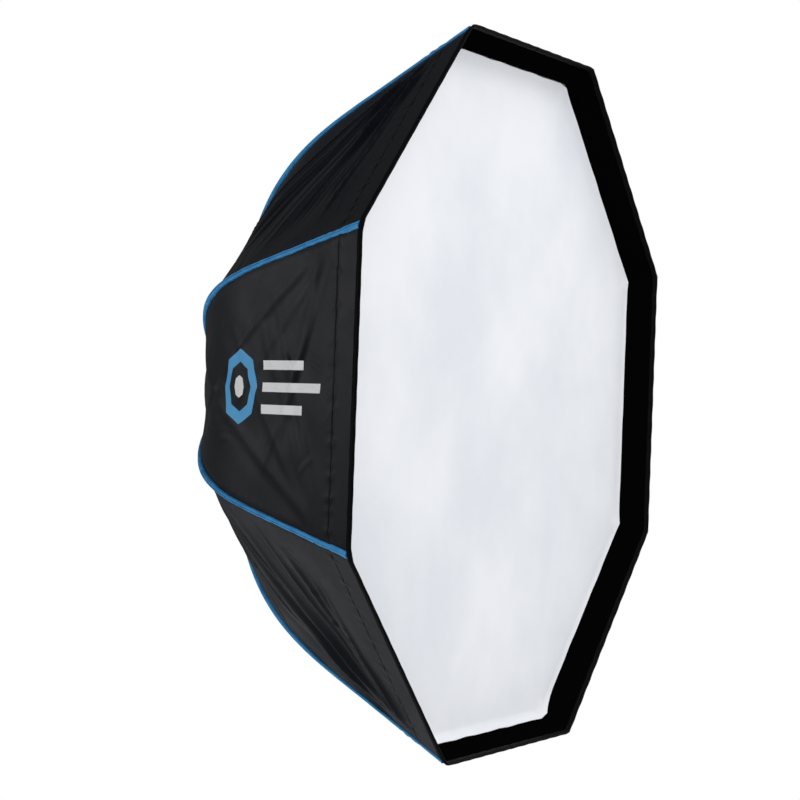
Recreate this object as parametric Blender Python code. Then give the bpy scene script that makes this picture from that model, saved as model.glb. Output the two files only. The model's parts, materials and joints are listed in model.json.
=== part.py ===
"""A studio softbox: an eight-rib folding octagon on a rotating mount ring.

Everything is modelled on the bench, with the optical axis along +Z and the open front up.
One empty then turns it to its place in the world: the front faces -Y and up is +Z.
The origin is on the optical axis, on the plane that seats against the light.
"""
import math

import bmesh
import bpy
from mathutils import Matrix, Vector

# ---------------------------------------------------------------- driving dimensions, in metres
RIB_COUNT = 8
STEP = 2 * math.pi / RIB_COUNT          # angle from one rib to the next
HALF = STEP / 2
FIRST_RIB = HALF                        # ribs stand on the corners, so the octagon has a flat top

SEAM_START = (0.0955, 0.0182)           # radius and height where a seam line would meet the hub
SEAM_LENGTH = 0.5714
SEAM_HUB_SLOPE = math.radians(19.2)     # the seam's angle above the mount plane, at the hub
SEAM_RIM_SLOPE = math.radians(61.1)     # and at the rim
BOWED_SHARE = 0.707                     # the share of the length over which the rib is bowed
FOLD_ANGLE = math.radians(44.0)

CLOTH = 0.0015
CLOTH_START_RADIUS = 0.1142
SEAM_GAP = 0.0008                       # each panel stops this far from the rib's plane
TAPE_HALF_WIDTH = 0.0042
TAPE_THICKNESS = 0.0015
TAPE_LIFT = 0.0004

ROD_RADIUS = 0.0025
ROD_INSET = 0.008                       # from the seam line to the rod's centre
CAP_RADIUS = 0.0045
CAP_LENGTH = 0.015
CAP_SETBACK = 0.0465                    # from the rim to the cap's end, behind the diffuser

BORE_RADIUS = 0.060                     # the clear way for the flash tube
FLANGE_RADIUS = 0.0755
SEAT_INNER_RADIUS = 0.0665
SEAT_STEP = 0.0006
FLANGE_THICKNESS = 0.004
NECK_RADIUS = 0.0715
NECK_TOP = 0.0098
LUG_HEIGHT = 0.009
LUG_REACH = 0.0055
HUB_RADIUS = 0.0985
HUB_TOP = 0.0140
HUB_CHAMFER = 0.0060                    # on the rear edge, so that the cloth hides the hub
HUB_POCKET_RADIUS = 0.078
GAP = 0.0003

PIN_RADIUS = 0.0020
EYE_BORE = 0.0023
EYE_RADIUS = 0.0050
EYE_HALF_WIDTH = 0.0024
EAR_GAP = 0.0004
EAR_THICKNESS = 0.003

POST_RADIUS = 0.0025
POST_CIRCLE = 0.0805
RUNNER_INNER_RADIUS = 0.0655
RUNNER_OUTER_RADIUS = 0.0740
RUNNER_HALF_HEIGHT = 0.005
RUNNER_PIVOT_RADIUS = 0.0790
RUNNER_OPEN_HEIGHT = 0.057
BLOCK_HALF_WIDTH = 0.0036
STRUT_OFFSET = 0.0042                   # from the rib's plane to the strut's near face
STRUT_THICKNESS = 0.003
STRUT_EYE_RADIUS = 0.0043
STRUT_AT = 0.170                        # along the rod, from its hinge
STOP_RING_HEIGHT = 0.0645
STOP_RING_THICKNESS = 0.004

KNOB_HEIGHT = 0.0074
KNOB_ANGLE = -math.pi / 2
KNOB_RADIUS = 0.0070
KNOB_SCREW_RADIUS = 0.0020

LATCH_ANGLE = math.pi / 2
LATCH_TRAVEL = 0.003

FRONT_DIFFUSER_HEIGHT = 0.379
INNER_DIFFUSER_HEIGHT = 0.237
INNER_DIFFUSER_GAP = 0.045              # between its corners and the seam line
EDGE_GAP = 0.003

ROUND = 32                              # sides of small round parts are fewer
BLACK = (0.012, 0.012, 0.014, 1.0)
BLUE = (0.045, 0.27, 0.62, 1.0)
WHITE = (0.86, 0.86, 0.88, 1.0)
METAL = (0.52, 0.53, 0.55, 1.0)
GREY = (0.12, 0.12, 0.13, 1.0)


# ---------------------------------------------------------------- scene and materials
for old in list(bpy.data.objects):
    bpy.data.objects.remove(old)

optical_axis = bpy.data.objects.new("optical_axis", None)
optical_axis.rotation_euler.x = math.pi / 2
bpy.context.collection.objects.link(optical_axis)


def material(name, colour, roughness, metallic=0.0):
    made = bpy.data.materials.new(name)
    made.use_nodes = True
    shader = made.node_tree.nodes["Principled BSDF"]
    shader.inputs["Base Color"].default_value = colour
    shader.inputs["Roughness"].default_value = roughness
    shader.inputs["Metallic"].default_value = metallic
    return made


SHELL_CLOTH = material("shell_cloth", BLACK, 0.8)
TAPE = material("seam_tape", BLUE, 0.7)
DIFFUSER_CLOTH = material("diffuser_cloth", WHITE, 0.9)
ALUMINIUM = material("cast_aluminium", METAL, 0.4, 1.0)
STEEL = material("spring_steel", METAL, 0.3, 1.0)
PLASTIC = material("moulded_nylon", GREY, 0.5)


# ---------------------------------------------------------------- modelling helpers
def placed(name, mesh_data, paint, centre=(0, 0, 0), turn=0.0):
    """Object made from a bmesh, at its joint or centre on the bench, turned about the axis."""
    if isinstance(mesh_data, bmesh.types.BMesh):
        bmesh.ops.recalc_face_normals(mesh_data, faces=mesh_data.faces)
        mesh = bpy.data.meshes.new(name)
        mesh_data.to_mesh(mesh)
        mesh_data.free()
    else:
        mesh = mesh_data
    made = bpy.data.objects.new(name, mesh)
    made.parent = optical_axis
    made.location = centre
    made.rotation_euler.z = turn
    if not mesh.materials:
        mesh.materials.append(paint)
    bpy.context.collection.objects.link(made)
    return made


def ring(outline, sides=ROUND):
    """A closed outline of (radius, height) points spun about the optical axis."""
    bm = bmesh.new()
    corners = [bm.verts.new((r, 0, z)) for r, z in outline]
    edges = [bm.edges.new((a, b)) for a, b in zip(corners, corners[1:] + corners[:1])]
    bmesh.ops.spin(bm, geom=corners + edges, axis=(0, 0, 1), cent=(0, 0, 0),
                   angle=2 * math.pi, steps=sides, use_merge=True)
    bmesh.ops.remove_doubles(bm, verts=bm.verts, dist=1e-6)
    return bm


def cylinder(radius, start, end, sides=12):
    """A capped cylinder from one point to another."""
    start, end = Vector(start), Vector(end)
    along = end - start
    bm = bmesh.new()
    turn = along.to_track_quat("Z", "Y").to_matrix().to_4x4()
    where = Matrix.Translation((start + end) / 2) @ turn
    bmesh.ops.create_cone(bm, cap_ends=True, segments=sides, radius1=radius, radius2=radius,
                          depth=along.length, matrix=where)
    return bm


def block(low, high):
    """A box between two corners."""
    low, high = Vector(low), Vector(high)
    bm = bmesh.new()
    size = Matrix.Diagonal((*(high - low), 1.0))
    bmesh.ops.create_cube(bm, size=1.0, matrix=Matrix.Translation((low + high) / 2) @ size)
    return bm


def plate(outline, near, far):
    """An outline of (x, z) points, extruded along y from near to far."""
    bm = bmesh.new()
    face = bm.faces.new([bm.verts.new((x, near, z)) for x, z in outline])
    raised = bmesh.ops.extrude_face_region(bm, geom=[face])
    moved = [g for g in raised["geom"] if isinstance(g, bmesh.types.BMVert)]
    bmesh.ops.translate(bm, verts=moved, vec=(0, far - near, 0))
    return bm


def arc(centre, radius, start, end, steps=8):
    """Points of an arc in the (x, z) plane; the angles are in degrees."""
    angles = [math.radians(start + (end - start) * k / steps) for k in range(steps + 1)]
    return [(centre[0] + radius * math.cos(a), centre[1] + radius * math.sin(a)) for a in angles]


def combined(base, tools, operation):
    """The bmesh base with each tool joined to it or cut from it by an exact Boolean."""
    target = placed("target", base, PLASTIC)
    for tool in tools:
        other = placed("tool", tool, PLASTIC)
        change = target.modifiers.new("change", "BOOLEAN")
        change.operation = operation
        change.object = other
        bpy.context.view_layer.update()
        result = bpy.data.meshes.new_from_object(
            target.evaluated_get(bpy.context.evaluated_depsgraph_get()))
        target.modifiers.remove(change)
        target.data = result
        bpy.data.objects.remove(other)
    bm = bmesh.new()
    bm.from_mesh(target.data)
    bpy.data.objects.remove(target)
    return bm


def joined(base, *tools):
    return combined(base, tools, "UNION")


def drilled(base, *tools):
    return combined(base, tools, "DIFFERENCE")


def turned(bm, angle):
    bmesh.ops.rotate(bm, verts=bm.verts, cent=(0, 0, 0), matrix=Matrix.Rotation(angle, 3, "Z"))
    return bm


def around(count, first=0.0):
    return [first + 2 * math.pi * k / count for k in range(count)]


# ---------------------------------------------------------------- the seam line of a bowed rib
def seam_slope(s):
    """Angle of the seam above the mount plane, s metres along it from the hub."""
    share = min(max(s / (BOWED_SHARE * SEAM_LENGTH), 0.0), 1.0)
    return SEAM_HUB_SLOPE + (SEAM_RIM_SLOPE - SEAM_HUB_SLOPE) * share * share * (3 - 2 * share)


def seam_table(steps=800):
    """Points (s, radius, height, slope) along the seam, by adding up short straight steps."""
    ds = SEAM_LENGTH / steps
    radius, height = SEAM_START
    table = [(0.0, radius, height, seam_slope(0.0))]
    for k in range(steps):
        middle = seam_slope((k + 0.5) * ds)
        radius += ds * math.cos(middle)
        height += ds * math.sin(middle)
        table.append(((k + 1) * ds, radius, height, seam_slope((k + 1) * ds)))
    return table


SEAM = seam_table()
RIM_RADIUS, RIM_HEIGHT = SEAM[-1][1], SEAM[-1][2]


def seam_at(value, column=0):
    """The seam point where s (column 0), radius (1) or height (2) has this value."""
    for before, after in zip(SEAM, SEAM[1:]):
        if value <= after[column]:
            share = (value - before[column]) / (after[column] - before[column])
            return tuple(a + (b - a) * share for a, b in zip(before, after))
    return SEAM[-1]


def rod_point(s):
    """Radius and height of the rod's centre line beside seam point s."""
    _, radius, height, slope = seam_at(s)
    return radius - ROD_INSET * math.sin(slope), height + ROD_INSET * math.cos(slope)


HINGE = rod_point(0.0)


def swung(point, angle):
    """A point of the rib's plane after the rib has folded by this angle about its hinge."""
    r, z = point[0] - HINGE[0], point[1] - HINGE[1]
    return (HINGE[0] + r * math.cos(angle) - z * math.sin(angle),
            HINGE[1] + r * math.sin(angle) + z * math.cos(angle))


# ---------------------------------------------------------------- strut linkage, worked out once
STRUT_PIN = rod_point(STRUT_AT)
RUNNER_PIVOT = (RUNNER_PIVOT_RADIUS, RUNNER_OPEN_HEIGHT)
STRUT_LENGTH = math.dist(STRUT_PIN, RUNNER_PIVOT)
STRUT_OPEN_ANGLE = math.atan2(STRUT_PIN[1] - RUNNER_PIVOT[1], STRUT_PIN[0] - RUNNER_PIVOT[0])
FOLDED_PIN = swung(STRUT_PIN, FOLD_ANGLE)
STRUT_FOLDED_ANGLE = math.acos((FOLDED_PIN[0] - RUNNER_PIVOT_RADIUS) / STRUT_LENGTH)
RUNNER_TRAVEL = RUNNER_OPEN_HEIGHT - (FOLDED_PIN[1] - STRUT_LENGTH * math.sin(STRUT_FOLDED_ANGLE))


# ---------------------------------------------------------------- mount ring that the light holds
def bayonet_lug(angle):
    """One hooked lug: an upright on the bore's rim and a hook that points outwards."""
    inner, outer = BORE_RADIUS + 0.0003, BORE_RADIUS + 0.0035
    upright = block((inner, -0.010, -LUG_HEIGHT), (outer, 0.010, 0.002))
    hook = block((inner + 0.001, -0.010, -LUG_HEIGHT + 0.0001),
                 (inner + LUG_REACH, 0.010, -LUG_HEIGHT + 0.003))
    return turned(joined(upright, hook), angle)


def make_mount_ring():
    outline = [
        (BORE_RADIUS, SEAT_STEP), (SEAT_INNER_RADIUS, SEAT_STEP), (SEAT_INNER_RADIUS, 0.0),
        (FLANGE_RADIUS, 0.0), (FLANGE_RADIUS, FLANGE_THICKNESS), (NECK_RADIUS, FLANGE_THICKNESS),
        (NECK_RADIUS, NECK_TOP), (BORE_RADIUS, NECK_TOP),
    ]
    lugs = [bayonet_lug(a) for a in around(3, math.pi / 2)]
    placed("bayonet_ring", joined(ring(outline, 48), *lugs), ALUMINIUM)
    low = NECK_TOP + GAP
    outline = [(BORE_RADIUS, low), (HUB_POCKET_RADIUS - 0.0005, low),
               (HUB_POCKET_RADIUS - 0.0005, low + 0.003), (BORE_RADIUS, low + 0.003)]
    placed("retaining_ring", ring(outline, 48), ALUMINIUM)


# ---------------------------------------------------------------- hub that carries the ribs
def hub_clevis(angle):
    """Two ears and the pin between them, which a rib's eye turns on."""
    radius, height = HINGE
    near = EYE_HALF_WIDTH + EAR_GAP
    foot = HUB_TOP - 0.001
    outline = [(radius - EYE_RADIUS, foot), (radius + EYE_RADIUS, foot),
               *arc(HINGE, EYE_RADIUS, 0, 180)]
    parts = [plate(outline, near, near + EAR_THICKNESS),
             plate(outline, -near - EAR_THICKNESS, -near)]
    reach = near + EAR_THICKNESS + 0.0008
    parts.append(cylinder(PIN_RADIUS, (radius, -reach, height), (radius, reach, height), 10))
    return [turned(part, angle) for part in parts]


def make_hub():
    low = FLANGE_THICKNESS + GAP
    bearing = NECK_RADIUS + GAP
    outline = [
        (bearing, low), (HUB_RADIUS - HUB_CHAMFER, low), (HUB_RADIUS, low + HUB_CHAMFER),
        (HUB_RADIUS, HUB_TOP),
        (HUB_POCKET_RADIUS, HUB_TOP), (HUB_POCKET_RADIUS, NECK_TOP), (bearing, NECK_TOP),
    ]
    clevises = [part for a in around(RIB_COUNT, FIRST_RIB) for part in hub_clevis(a)]
    hub = joined(ring(outline, 48), *clevises)
    screw_way = cylinder(KNOB_SCREW_RADIUS + GAP, (0.070, 0, KNOB_HEIGHT), (0.105, 0, KNOB_HEIGHT), 16)
    placed("hub_ring", drilled(hub, turned(screw_way, KNOB_ANGLE)), PLASTIC)


def make_guide_cage():
    """Four posts that guide the runner, joined by the ring that it stops against."""
    low = STOP_RING_HEIGHT
    outline = [(POST_CIRCLE - 0.006, low), (POST_CIRCLE + 0.005, low),
               (POST_CIRCLE + 0.005, low + STOP_RING_THICKNESS),
               (POST_CIRCLE - 0.006, low + STOP_RING_THICKNESS)]
    posts = [turned(cylinder(POST_RADIUS, (POST_CIRCLE, 0, HUB_TOP + GAP),
                             (POST_CIRCLE, 0, low + 0.002)), a) for a in around(4)]
    placed("guide_cage", joined(ring(outline), *posts), STEEL)


def make_rear_collar():
    """The hem round the hub: a circle inside, and the octagon of the panels' ends outside."""
    inner = HUB_RADIUS + 0.001
    outer = CLOTH_START_RADIUS - 0.0006
    sides = RIB_COUNT * 6
    bm = bmesh.new()
    loops = []
    for k, angle in enumerate(around(sides, FIRST_RIB)):
        off = (angle - FIRST_RIB) % STEP - HALF
        reach = outer * math.cos(HALF) / math.cos(off)
        _, _, height, _ = seam_at(outer, 1)
        rise = height + 0.0002
        section = [(inner, 0.0160), (reach, rise - 0.0018), (reach, rise), (inner, 0.0205)]
        loops.append([bm.verts.new((r * math.cos(angle), r * math.sin(angle), z))
                      for r, z in section])
    for here, there in zip(loops, loops[1:] + loops[:1]):
        for k in range(4):
            bm.faces.new((here[k], there[k], there[(k + 1) % 4], here[(k + 1) % 4]))
    placed("rear_collar", bm, SHELL_CLOTH)


# ---------------------------------------------------------------- clamp knob and runner latch
def make_clamp_knob():
    """A lobed thumbscrew whose screw bears on the mount ring's neck."""
    head_start, head_end = HUB_RADIUS + 0.004, HUB_RADIUS + 0.016
    head = cylinder(KNOB_RADIUS, (head_start, 0, 0), (head_end, 0, 0), 24)
    flutes = []
    for a in around(6):
        y, z = 1.15 * KNOB_RADIUS * math.cos(a), 1.15 * KNOB_RADIUS * math.sin(a)
        flutes.append(cylinder(0.0021, (head_start - 0.001, y, z), (head_end + 0.001, y, z), 10))
    screw = cylinder(KNOB_SCREW_RADIUS, (NECK_RADIUS + 0.0008, 0, 0), (head_start + 0.004, 0, 0), 16)
    placed("clamp_knob", joined(drilled(head, *flutes), screw), PLASTIC,
           centre=(0, 0, KNOB_HEIGHT), turn=KNOB_ANGLE)


def latch_centre():
    """Radius and height of the middle of the latch housing's rear face, on the stop ring."""
    return POST_CIRCLE - 0.0005, STOP_RING_HEIGHT + STOP_RING_THICKNESS + GAP


def make_latch():
    """A push button in a small housing on the stop ring, with the spring that returns it."""
    radius, low = latch_centre()
    where = (radius * math.cos(LATCH_ANGLE), radius * math.sin(LATCH_ANGLE), low)
    housing = block((-0.0055, -0.011, 0), (0.0055, 0.011, 0.012))
    well = cylinder(0.0043, (0, 0, 0.002), (0, 0, 0.020), 16)
    placed("latch_housing", drilled(housing, well), PLASTIC, centre=where, turn=LATCH_ANGLE)
    button = cylinder(0.0040, (0, 0, 0.0060), (0, 0, 0.0175), 20)
    placed("latch_button", button, PLASTIC, centre=where, turn=LATCH_ANGLE)
    spring = ring([(0.0026, 0.0024), (0.0036, 0.0024), (0.0036, 0.0057), (0.0026, 0.0057)], 16)
    placed("latch_spring", spring, STEEL, centre=where, turn=LATCH_ANGLE)


# ---------------------------------------------------------------- runner and struts
def make_runner():
    half = RUNNER_HALF_HEIGHT
    runner = ring([(RUNNER_INNER_RADIUS, -half), (RUNNER_OUTER_RADIUS, -half),
                   (RUNNER_OUTER_RADIUS, half), (RUNNER_INNER_RADIUS, half)])
    parts = []
    holes = []
    for a in around(4):
        lug = block((RUNNER_OUTER_RADIUS - 0.002, -0.0055, -half + 0.0005),
                    (POST_CIRCLE + 0.0055, 0.0055, half - 0.0005))
        hole = cylinder(POST_RADIUS + GAP, (POST_CIRCLE, 0, -0.010), (POST_CIRCLE, 0, 0.010), 12)
        parts.append(turned(lug, a))
        holes.append(turned(hole, a))
    pivot = RUNNER_PIVOT_RADIUS
    strut_end = STRUT_OFFSET + STRUT_THICKNESS
    for a in around(RIB_COUNT, FIRST_RIB):
        ear = block((RUNNER_OUTER_RADIUS - 0.002, -BLOCK_HALF_WIDTH, -0.0042),
                    (pivot + 0.0042, BLOCK_HALF_WIDTH, 0.0042))
        pin = cylinder(PIN_RADIUS, (pivot, 0, 0), (pivot, strut_end + 0.0012, 0), 10)
        head = cylinder(0.0032, (pivot, strut_end + GAP, 0), (pivot, strut_end + 0.0013, 0), 12)
        parts += [turned(piece, a) for piece in (ear, pin, head)]
    placed("runner_ring", drilled(joined(runner, *parts), *holes), PLASTIC,
           centre=(0, 0, RUNNER_OPEN_HEIGHT))


def make_struts():
    """Flat bars beside the ribs: an eye on the runner's pin, and a rivet at the rib's bracket."""
    near, far = STRUT_OFFSET, STRUT_OFFSET + STRUT_THICKNESS
    outline = [*arc((0, 0), STRUT_EYE_RADIUS, 55, 305, 10),
               *arc((STRUT_LENGTH, 0), STRUT_EYE_RADIUS, -125, 125, 10)]
    rivet = cylinder(0.0026, (STRUT_LENGTH, near + 0.001, 0), (STRUT_LENGTH, far + 0.0012, 0), 10)
    bore = cylinder(EYE_BORE, (0, near - 0.002, 0), (0, far + 0.002, 0), 12)
    strut = drilled(joined(plate(outline, near, far), rivet), bore)
    bmesh.ops.rotate(strut, verts=strut.verts, cent=(0, 0, 0),
                     matrix=Matrix.Rotation(-STRUT_OPEN_ANGLE, 3, "Y"))
    shared = None
    for k, a in enumerate(around(RIB_COUNT, FIRST_RIB)):
        where = (RUNNER_PIVOT_RADIUS * math.cos(a), RUNNER_PIVOT_RADIUS * math.sin(a),
                 RUNNER_OPEN_HEIGHT)
        made = placed(f"strut_{k + 1}", shared or strut, ALUMINIUM, centre=where, turn=a)
        shared = made.data


# ---------------------------------------------------------------- ribs, caps and cloth
def rod_tube(start, end, stations=22, sides=8):
    """The bowed rod as one swept tube, in the rib's plane, measured from its hinge."""
    bm = bmesh.new()
    loops = []
    for k in range(stations + 1):
        s = start + (end - start) * k / stations
        r, z = rod_point(s)
        slope = seam_at(s)[3]
        across = Vector((-math.sin(slope), 0, math.cos(slope)))
        loops.append([bm.verts.new(Vector((r - HINGE[0], 0, z - HINGE[1]))
                                   + ROD_RADIUS * math.cos(a) * across
                                   + Vector((0, ROD_RADIUS * math.sin(a), 0)))
                      for a in around(sides, math.pi / sides)])
    for here, there in zip(loops, loops[1:]):
        for k in range(sides):
            bm.faces.new((here[k], here[(k + 1) % sides], there[(k + 1) % sides], there[k]))
    bm.faces.new(loops[0])
    bm.faces.new(loops[-1])
    return bm


def bracket_on_rod():
    """The clamp block on the rod, beside which the strut ends."""
    r, z = STRUT_PIN[0] - HINGE[0], STRUT_PIN[1] - HINGE[1]
    slope = seam_at(STRUT_AT)[3]
    bm = block((-0.009, -BLOCK_HALF_WIDTH, -0.004), (0.009, BLOCK_HALF_WIDTH, 0.004))
    bmesh.ops.rotate(bm, verts=bm.verts, cent=(0, 0, 0), matrix=Matrix.Rotation(-slope, 3, "Y"))
    bmesh.ops.translate(bm, verts=bm.verts, vec=(r, 0, z))
    return bm


def make_ribs():
    eye = cylinder(EYE_RADIUS, (0, -EYE_HALF_WIDTH, 0), (0, EYE_HALF_WIDTH, 0), 16)
    bore = cylinder(EYE_BORE, (0, -0.01, 0), (0, 0.01, 0), 12)
    rod_end = SEAM_LENGTH - CAP_SETBACK - 0.0048
    rib = joined(rod_tube(0.0037, rod_end), drilled(eye, bore), bracket_on_rod())

    cap_base = SEAM_LENGTH - CAP_LENGTH - CAP_SETBACK
    r, z = rod_point(cap_base)
    along = Vector((math.cos(SEAM_RIM_SLOPE), 0, math.sin(SEAM_RIM_SLOPE)))
    base = Vector((r - HINGE[0], 0, z - HINGE[1]))
    cap = drilled(cylinder(CAP_RADIUS, base, base + CAP_LENGTH * along, 16),
                  cylinder(ROD_RADIUS + 0.0004, base - 0.003 * along, base + 0.0112 * along, 12))

    shared_rib = shared_cap = None
    for k, a in enumerate(around(RIB_COUNT, FIRST_RIB)):
        where = (HINGE[0] * math.cos(a), HINGE[0] * math.sin(a), HINGE[1])
        made = placed(f"rib_{k + 1}", shared_rib or rib, STEEL, centre=where, turn=a)
        shared_rib = made.data
        made = placed(f"tip_cap_{k + 1}", shared_cap or cap, PLASTIC, centre=where, turn=a)
        shared_cap = made.data


def cloth_stations(count):
    """Seam points from the collar to the rim, evenly spaced along the seam."""
    first = seam_at(CLOTH_START_RADIUS, 1)[0]
    return [seam_at(first + (SEAM_LENGTH - first) * k / count) for k in range(count + 1)]


def panel():
    """One gore: flat from rib to rib at each height, and bowed along its length."""
    middle = Vector((math.cos(HALF), math.sin(HALF), 0))
    bm = bmesh.new()
    loops = []
    for _, radius, height, slope in cloth_stations(14):
        left = Vector((radius, SEAM_GAP, height))
        right = Matrix.Rotation(STEP, 3, "Z") @ Vector((radius, -SEAM_GAP, height))
        steep = math.atan2(math.sin(slope), math.cos(slope) * math.cos(HALF))
        inward = CLOTH * (Vector((0, 0, math.cos(steep))) - math.sin(steep) * middle)
        loops.append([bm.verts.new(p) for p in (left, right, right + inward, left + inward)])
    for here, there in zip(loops, loops[1:]):
        for k in range(4):
            bm.faces.new((here[k], here[(k + 1) % 4], there[(k + 1) % 4], there[k]))
    bm.faces.new(loops[0])
    bm.faces.new(loops[-1])
    return bm


def seam_tape():
    """The folded tape over a seam, lying on the ridge where two panels meet."""
    bm = bmesh.new()
    loops = []
    for _, radius, height, slope in cloth_stations(14):
        outward = Vector((math.sin(slope), 0, -math.cos(slope)))
        base = Vector((radius, 0, height))
        low, high = base + TAPE_LIFT * outward, base + (TAPE_LIFT + TAPE_THICKNESS) * outward
        side = Vector((0, TAPE_HALF_WIDTH, 0))
        loops.append([bm.verts.new(p) for p in (low - side, high - side, high + side, low + side)])
    for here, there in zip(loops, loops[1:]):
        for k in range(4):
            bm.faces.new((here[k], here[(k + 1) % 4], there[(k + 1) % 4], there[k]))
    bm.faces.new(loops[0])
    bm.faces.new(loops[-1])
    return bm


def hinge_at(angle):
    return Vector((HINGE[0] * math.cos(angle), HINGE[0] * math.sin(angle), HINGE[1]))


def make_cloth():
    shared_panel = shared_tape = None
    to_hinge = Vector((-HINGE[0], 0, -HINGE[1]))
    gore, tape = panel(), seam_tape()
    for bm in (gore, tape):
        bmesh.ops.translate(bm, verts=bm.verts, vec=to_hinge)
    for k, a in enumerate(around(RIB_COUNT, FIRST_RIB)):
        made = placed(f"panel_{k + 1}", shared_panel or gore, SHELL_CLOTH, hinge_at(a), a)
        shared_panel = made.data
        made = placed(f"seam_tape_{k + 1}", shared_tape or tape, TAPE, hinge_at(a), a)
        shared_tape = made.data


def octagon_sheet(apothem, corner_radius, height):
    """A flat octagon of cloth whose corners are cut across at corner_radius."""
    along = math.sqrt(corner_radius ** 2 - apothem ** 2)
    bm = bmesh.new()
    corners = []
    for a in around(RIB_COUNT, 0.0):
        turn = Matrix.Rotation(a, 3, "Z")
        corners += [turn @ Vector((apothem, side * along, height)) for side in (-1, 1)]
    face = bm.faces.new([bm.verts.new(c) for c in corners])
    raised = bmesh.ops.extrude_face_region(bm, geom=[face])
    moved = [g for g in raised["geom"] if isinstance(g, bmesh.types.BMVert)]
    bmesh.ops.translate(bm, verts=moved, vec=(0, 0, CLOTH))
    return bm


def make_diffusers():
    """The front diffuser sits in the lip, and the inner one hangs half-way down the shell."""
    _, radius, _, slope = seam_at(FRONT_DIFFUSER_HEIGHT, 2)
    apothem = radius * math.cos(HALF) - EDGE_GAP
    rod_side = radius - (ROD_INSET + CAP_RADIUS) / math.sin(slope) - EDGE_GAP
    placed("front_diffuser", octagon_sheet(apothem, rod_side, FRONT_DIFFUSER_HEIGHT),
           DIFFUSER_CLOTH)
    _, radius, _, _ = seam_at(INNER_DIFFUSER_HEIGHT, 2)
    corner = radius - INNER_DIFFUSER_GAP
    sheet = octagon_sheet(corner * math.cos(HALF) * 1.004, corner, INNER_DIFFUSER_HEIGHT)
    placed("inner_diffuser", sheet, DIFFUSER_CLOTH)


# ---------------------------------------------------------------- build
make_mount_ring()
make_hub()
make_guide_cage()
make_rear_collar()
make_clamp_knob()
make_latch()
make_runner()
make_struts()
make_ribs()
make_cloth()
make_diffusers()

for thing in bpy.data.objects:
    if thing.type == "MESH":
        thing.data.shade_smooth()
        thing.data.set_sharp_from_angle(angle=math.radians(35))

print(f"rim radius {RIM_RADIUS:.5f} m at {RIM_HEIGHT:.5f} m; hinge {HINGE[0]:.6f}, {HINGE[1]:.6f}")
print(f"strut {STRUT_LENGTH:.6f} m, opens to {math.degrees(STRUT_OPEN_ANGLE):.5f} deg, "
      f"folds to {math.degrees(STRUT_FOLDED_ANGLE):.5f} deg")
print(f"runner travel {RUNNER_TRAVEL:.6f} m, latch travel {LATCH_TRAVEL} m")
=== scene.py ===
# %% [markdown]
# # A folding octagonal softbox
# A softbox is a cloth tent on eight sprung ribs. A flash lights it from behind, and the white
# front makes that light soft. This notebook dresses the finished CAD frame: it adds the sewn
# cloth, the blue tapes, the diffusers and the finishes, and it moves no CAD part.
# Every length is in metres. The front faces -Y, the light mounts on the +Y side, and Z is up.

# %% Load the fixed frame
import json
import math

import bmesh
import bpy
import numpy as np
from mathutils import Matrix, Vector


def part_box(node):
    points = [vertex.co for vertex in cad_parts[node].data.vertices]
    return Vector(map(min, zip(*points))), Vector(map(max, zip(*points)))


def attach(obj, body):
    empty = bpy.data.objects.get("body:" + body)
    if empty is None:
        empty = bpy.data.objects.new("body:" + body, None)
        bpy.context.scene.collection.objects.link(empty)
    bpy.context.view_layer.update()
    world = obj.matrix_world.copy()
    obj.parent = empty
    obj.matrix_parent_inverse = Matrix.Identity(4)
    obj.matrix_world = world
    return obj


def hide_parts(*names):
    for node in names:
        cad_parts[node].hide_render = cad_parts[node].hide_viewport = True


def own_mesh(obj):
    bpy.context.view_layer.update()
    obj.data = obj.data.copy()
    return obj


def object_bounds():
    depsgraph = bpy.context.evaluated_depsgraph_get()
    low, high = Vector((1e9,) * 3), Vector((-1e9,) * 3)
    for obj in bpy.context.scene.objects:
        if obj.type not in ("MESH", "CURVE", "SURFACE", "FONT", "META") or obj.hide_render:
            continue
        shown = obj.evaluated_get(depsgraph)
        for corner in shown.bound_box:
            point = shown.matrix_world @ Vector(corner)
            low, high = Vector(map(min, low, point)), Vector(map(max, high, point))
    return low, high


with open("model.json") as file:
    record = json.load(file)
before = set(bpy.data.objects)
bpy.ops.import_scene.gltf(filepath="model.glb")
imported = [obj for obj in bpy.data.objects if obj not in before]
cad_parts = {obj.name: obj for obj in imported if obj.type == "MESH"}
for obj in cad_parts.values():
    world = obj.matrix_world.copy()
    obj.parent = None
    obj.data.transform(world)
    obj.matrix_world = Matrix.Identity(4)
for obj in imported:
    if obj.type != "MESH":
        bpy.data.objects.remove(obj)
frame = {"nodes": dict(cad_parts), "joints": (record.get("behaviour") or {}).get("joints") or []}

cad_low, cad_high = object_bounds()
print("CAD box", [round(v, 3) for v in cad_high - cad_low])

# %% [markdown]
# ## The camera
# It stands almost level with the middle of the softbox and well round to one side, so that it
# sees the white front and one whole panel. A long lens from three metres keeps the octagon from
# looking stretched. It is turned 2 degrees about its own line of sight.

# %% Place the camera
LENS_MM = 104.7
CAMERA_AZIMUTH, CAMERA_ELEVATION, CAMERA_ROLL = (math.radians(a) for a in (-62.452, -0.148, 2.108))
CAMERA_DISTANCE = 2.9104
AIM_LEFT, AIM_DOWN = 0.1551, 0.0028          # the aim's place beside the middle of the rim

rim_forward = -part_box("panel_1")[0].y
back = Vector((math.sin(CAMERA_AZIMUTH) * math.cos(CAMERA_ELEVATION),
               -math.cos(CAMERA_AZIMUTH) * math.cos(CAMERA_ELEVATION),
               math.sin(CAMERA_ELEVATION)))
level = Vector((math.cos(CAMERA_AZIMUTH), math.sin(CAMERA_AZIMUTH), 0))
rolled = Matrix.Rotation(CAMERA_ROLL, 3, back)
right, up = rolled @ level, rolled @ back.cross(level)

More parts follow.
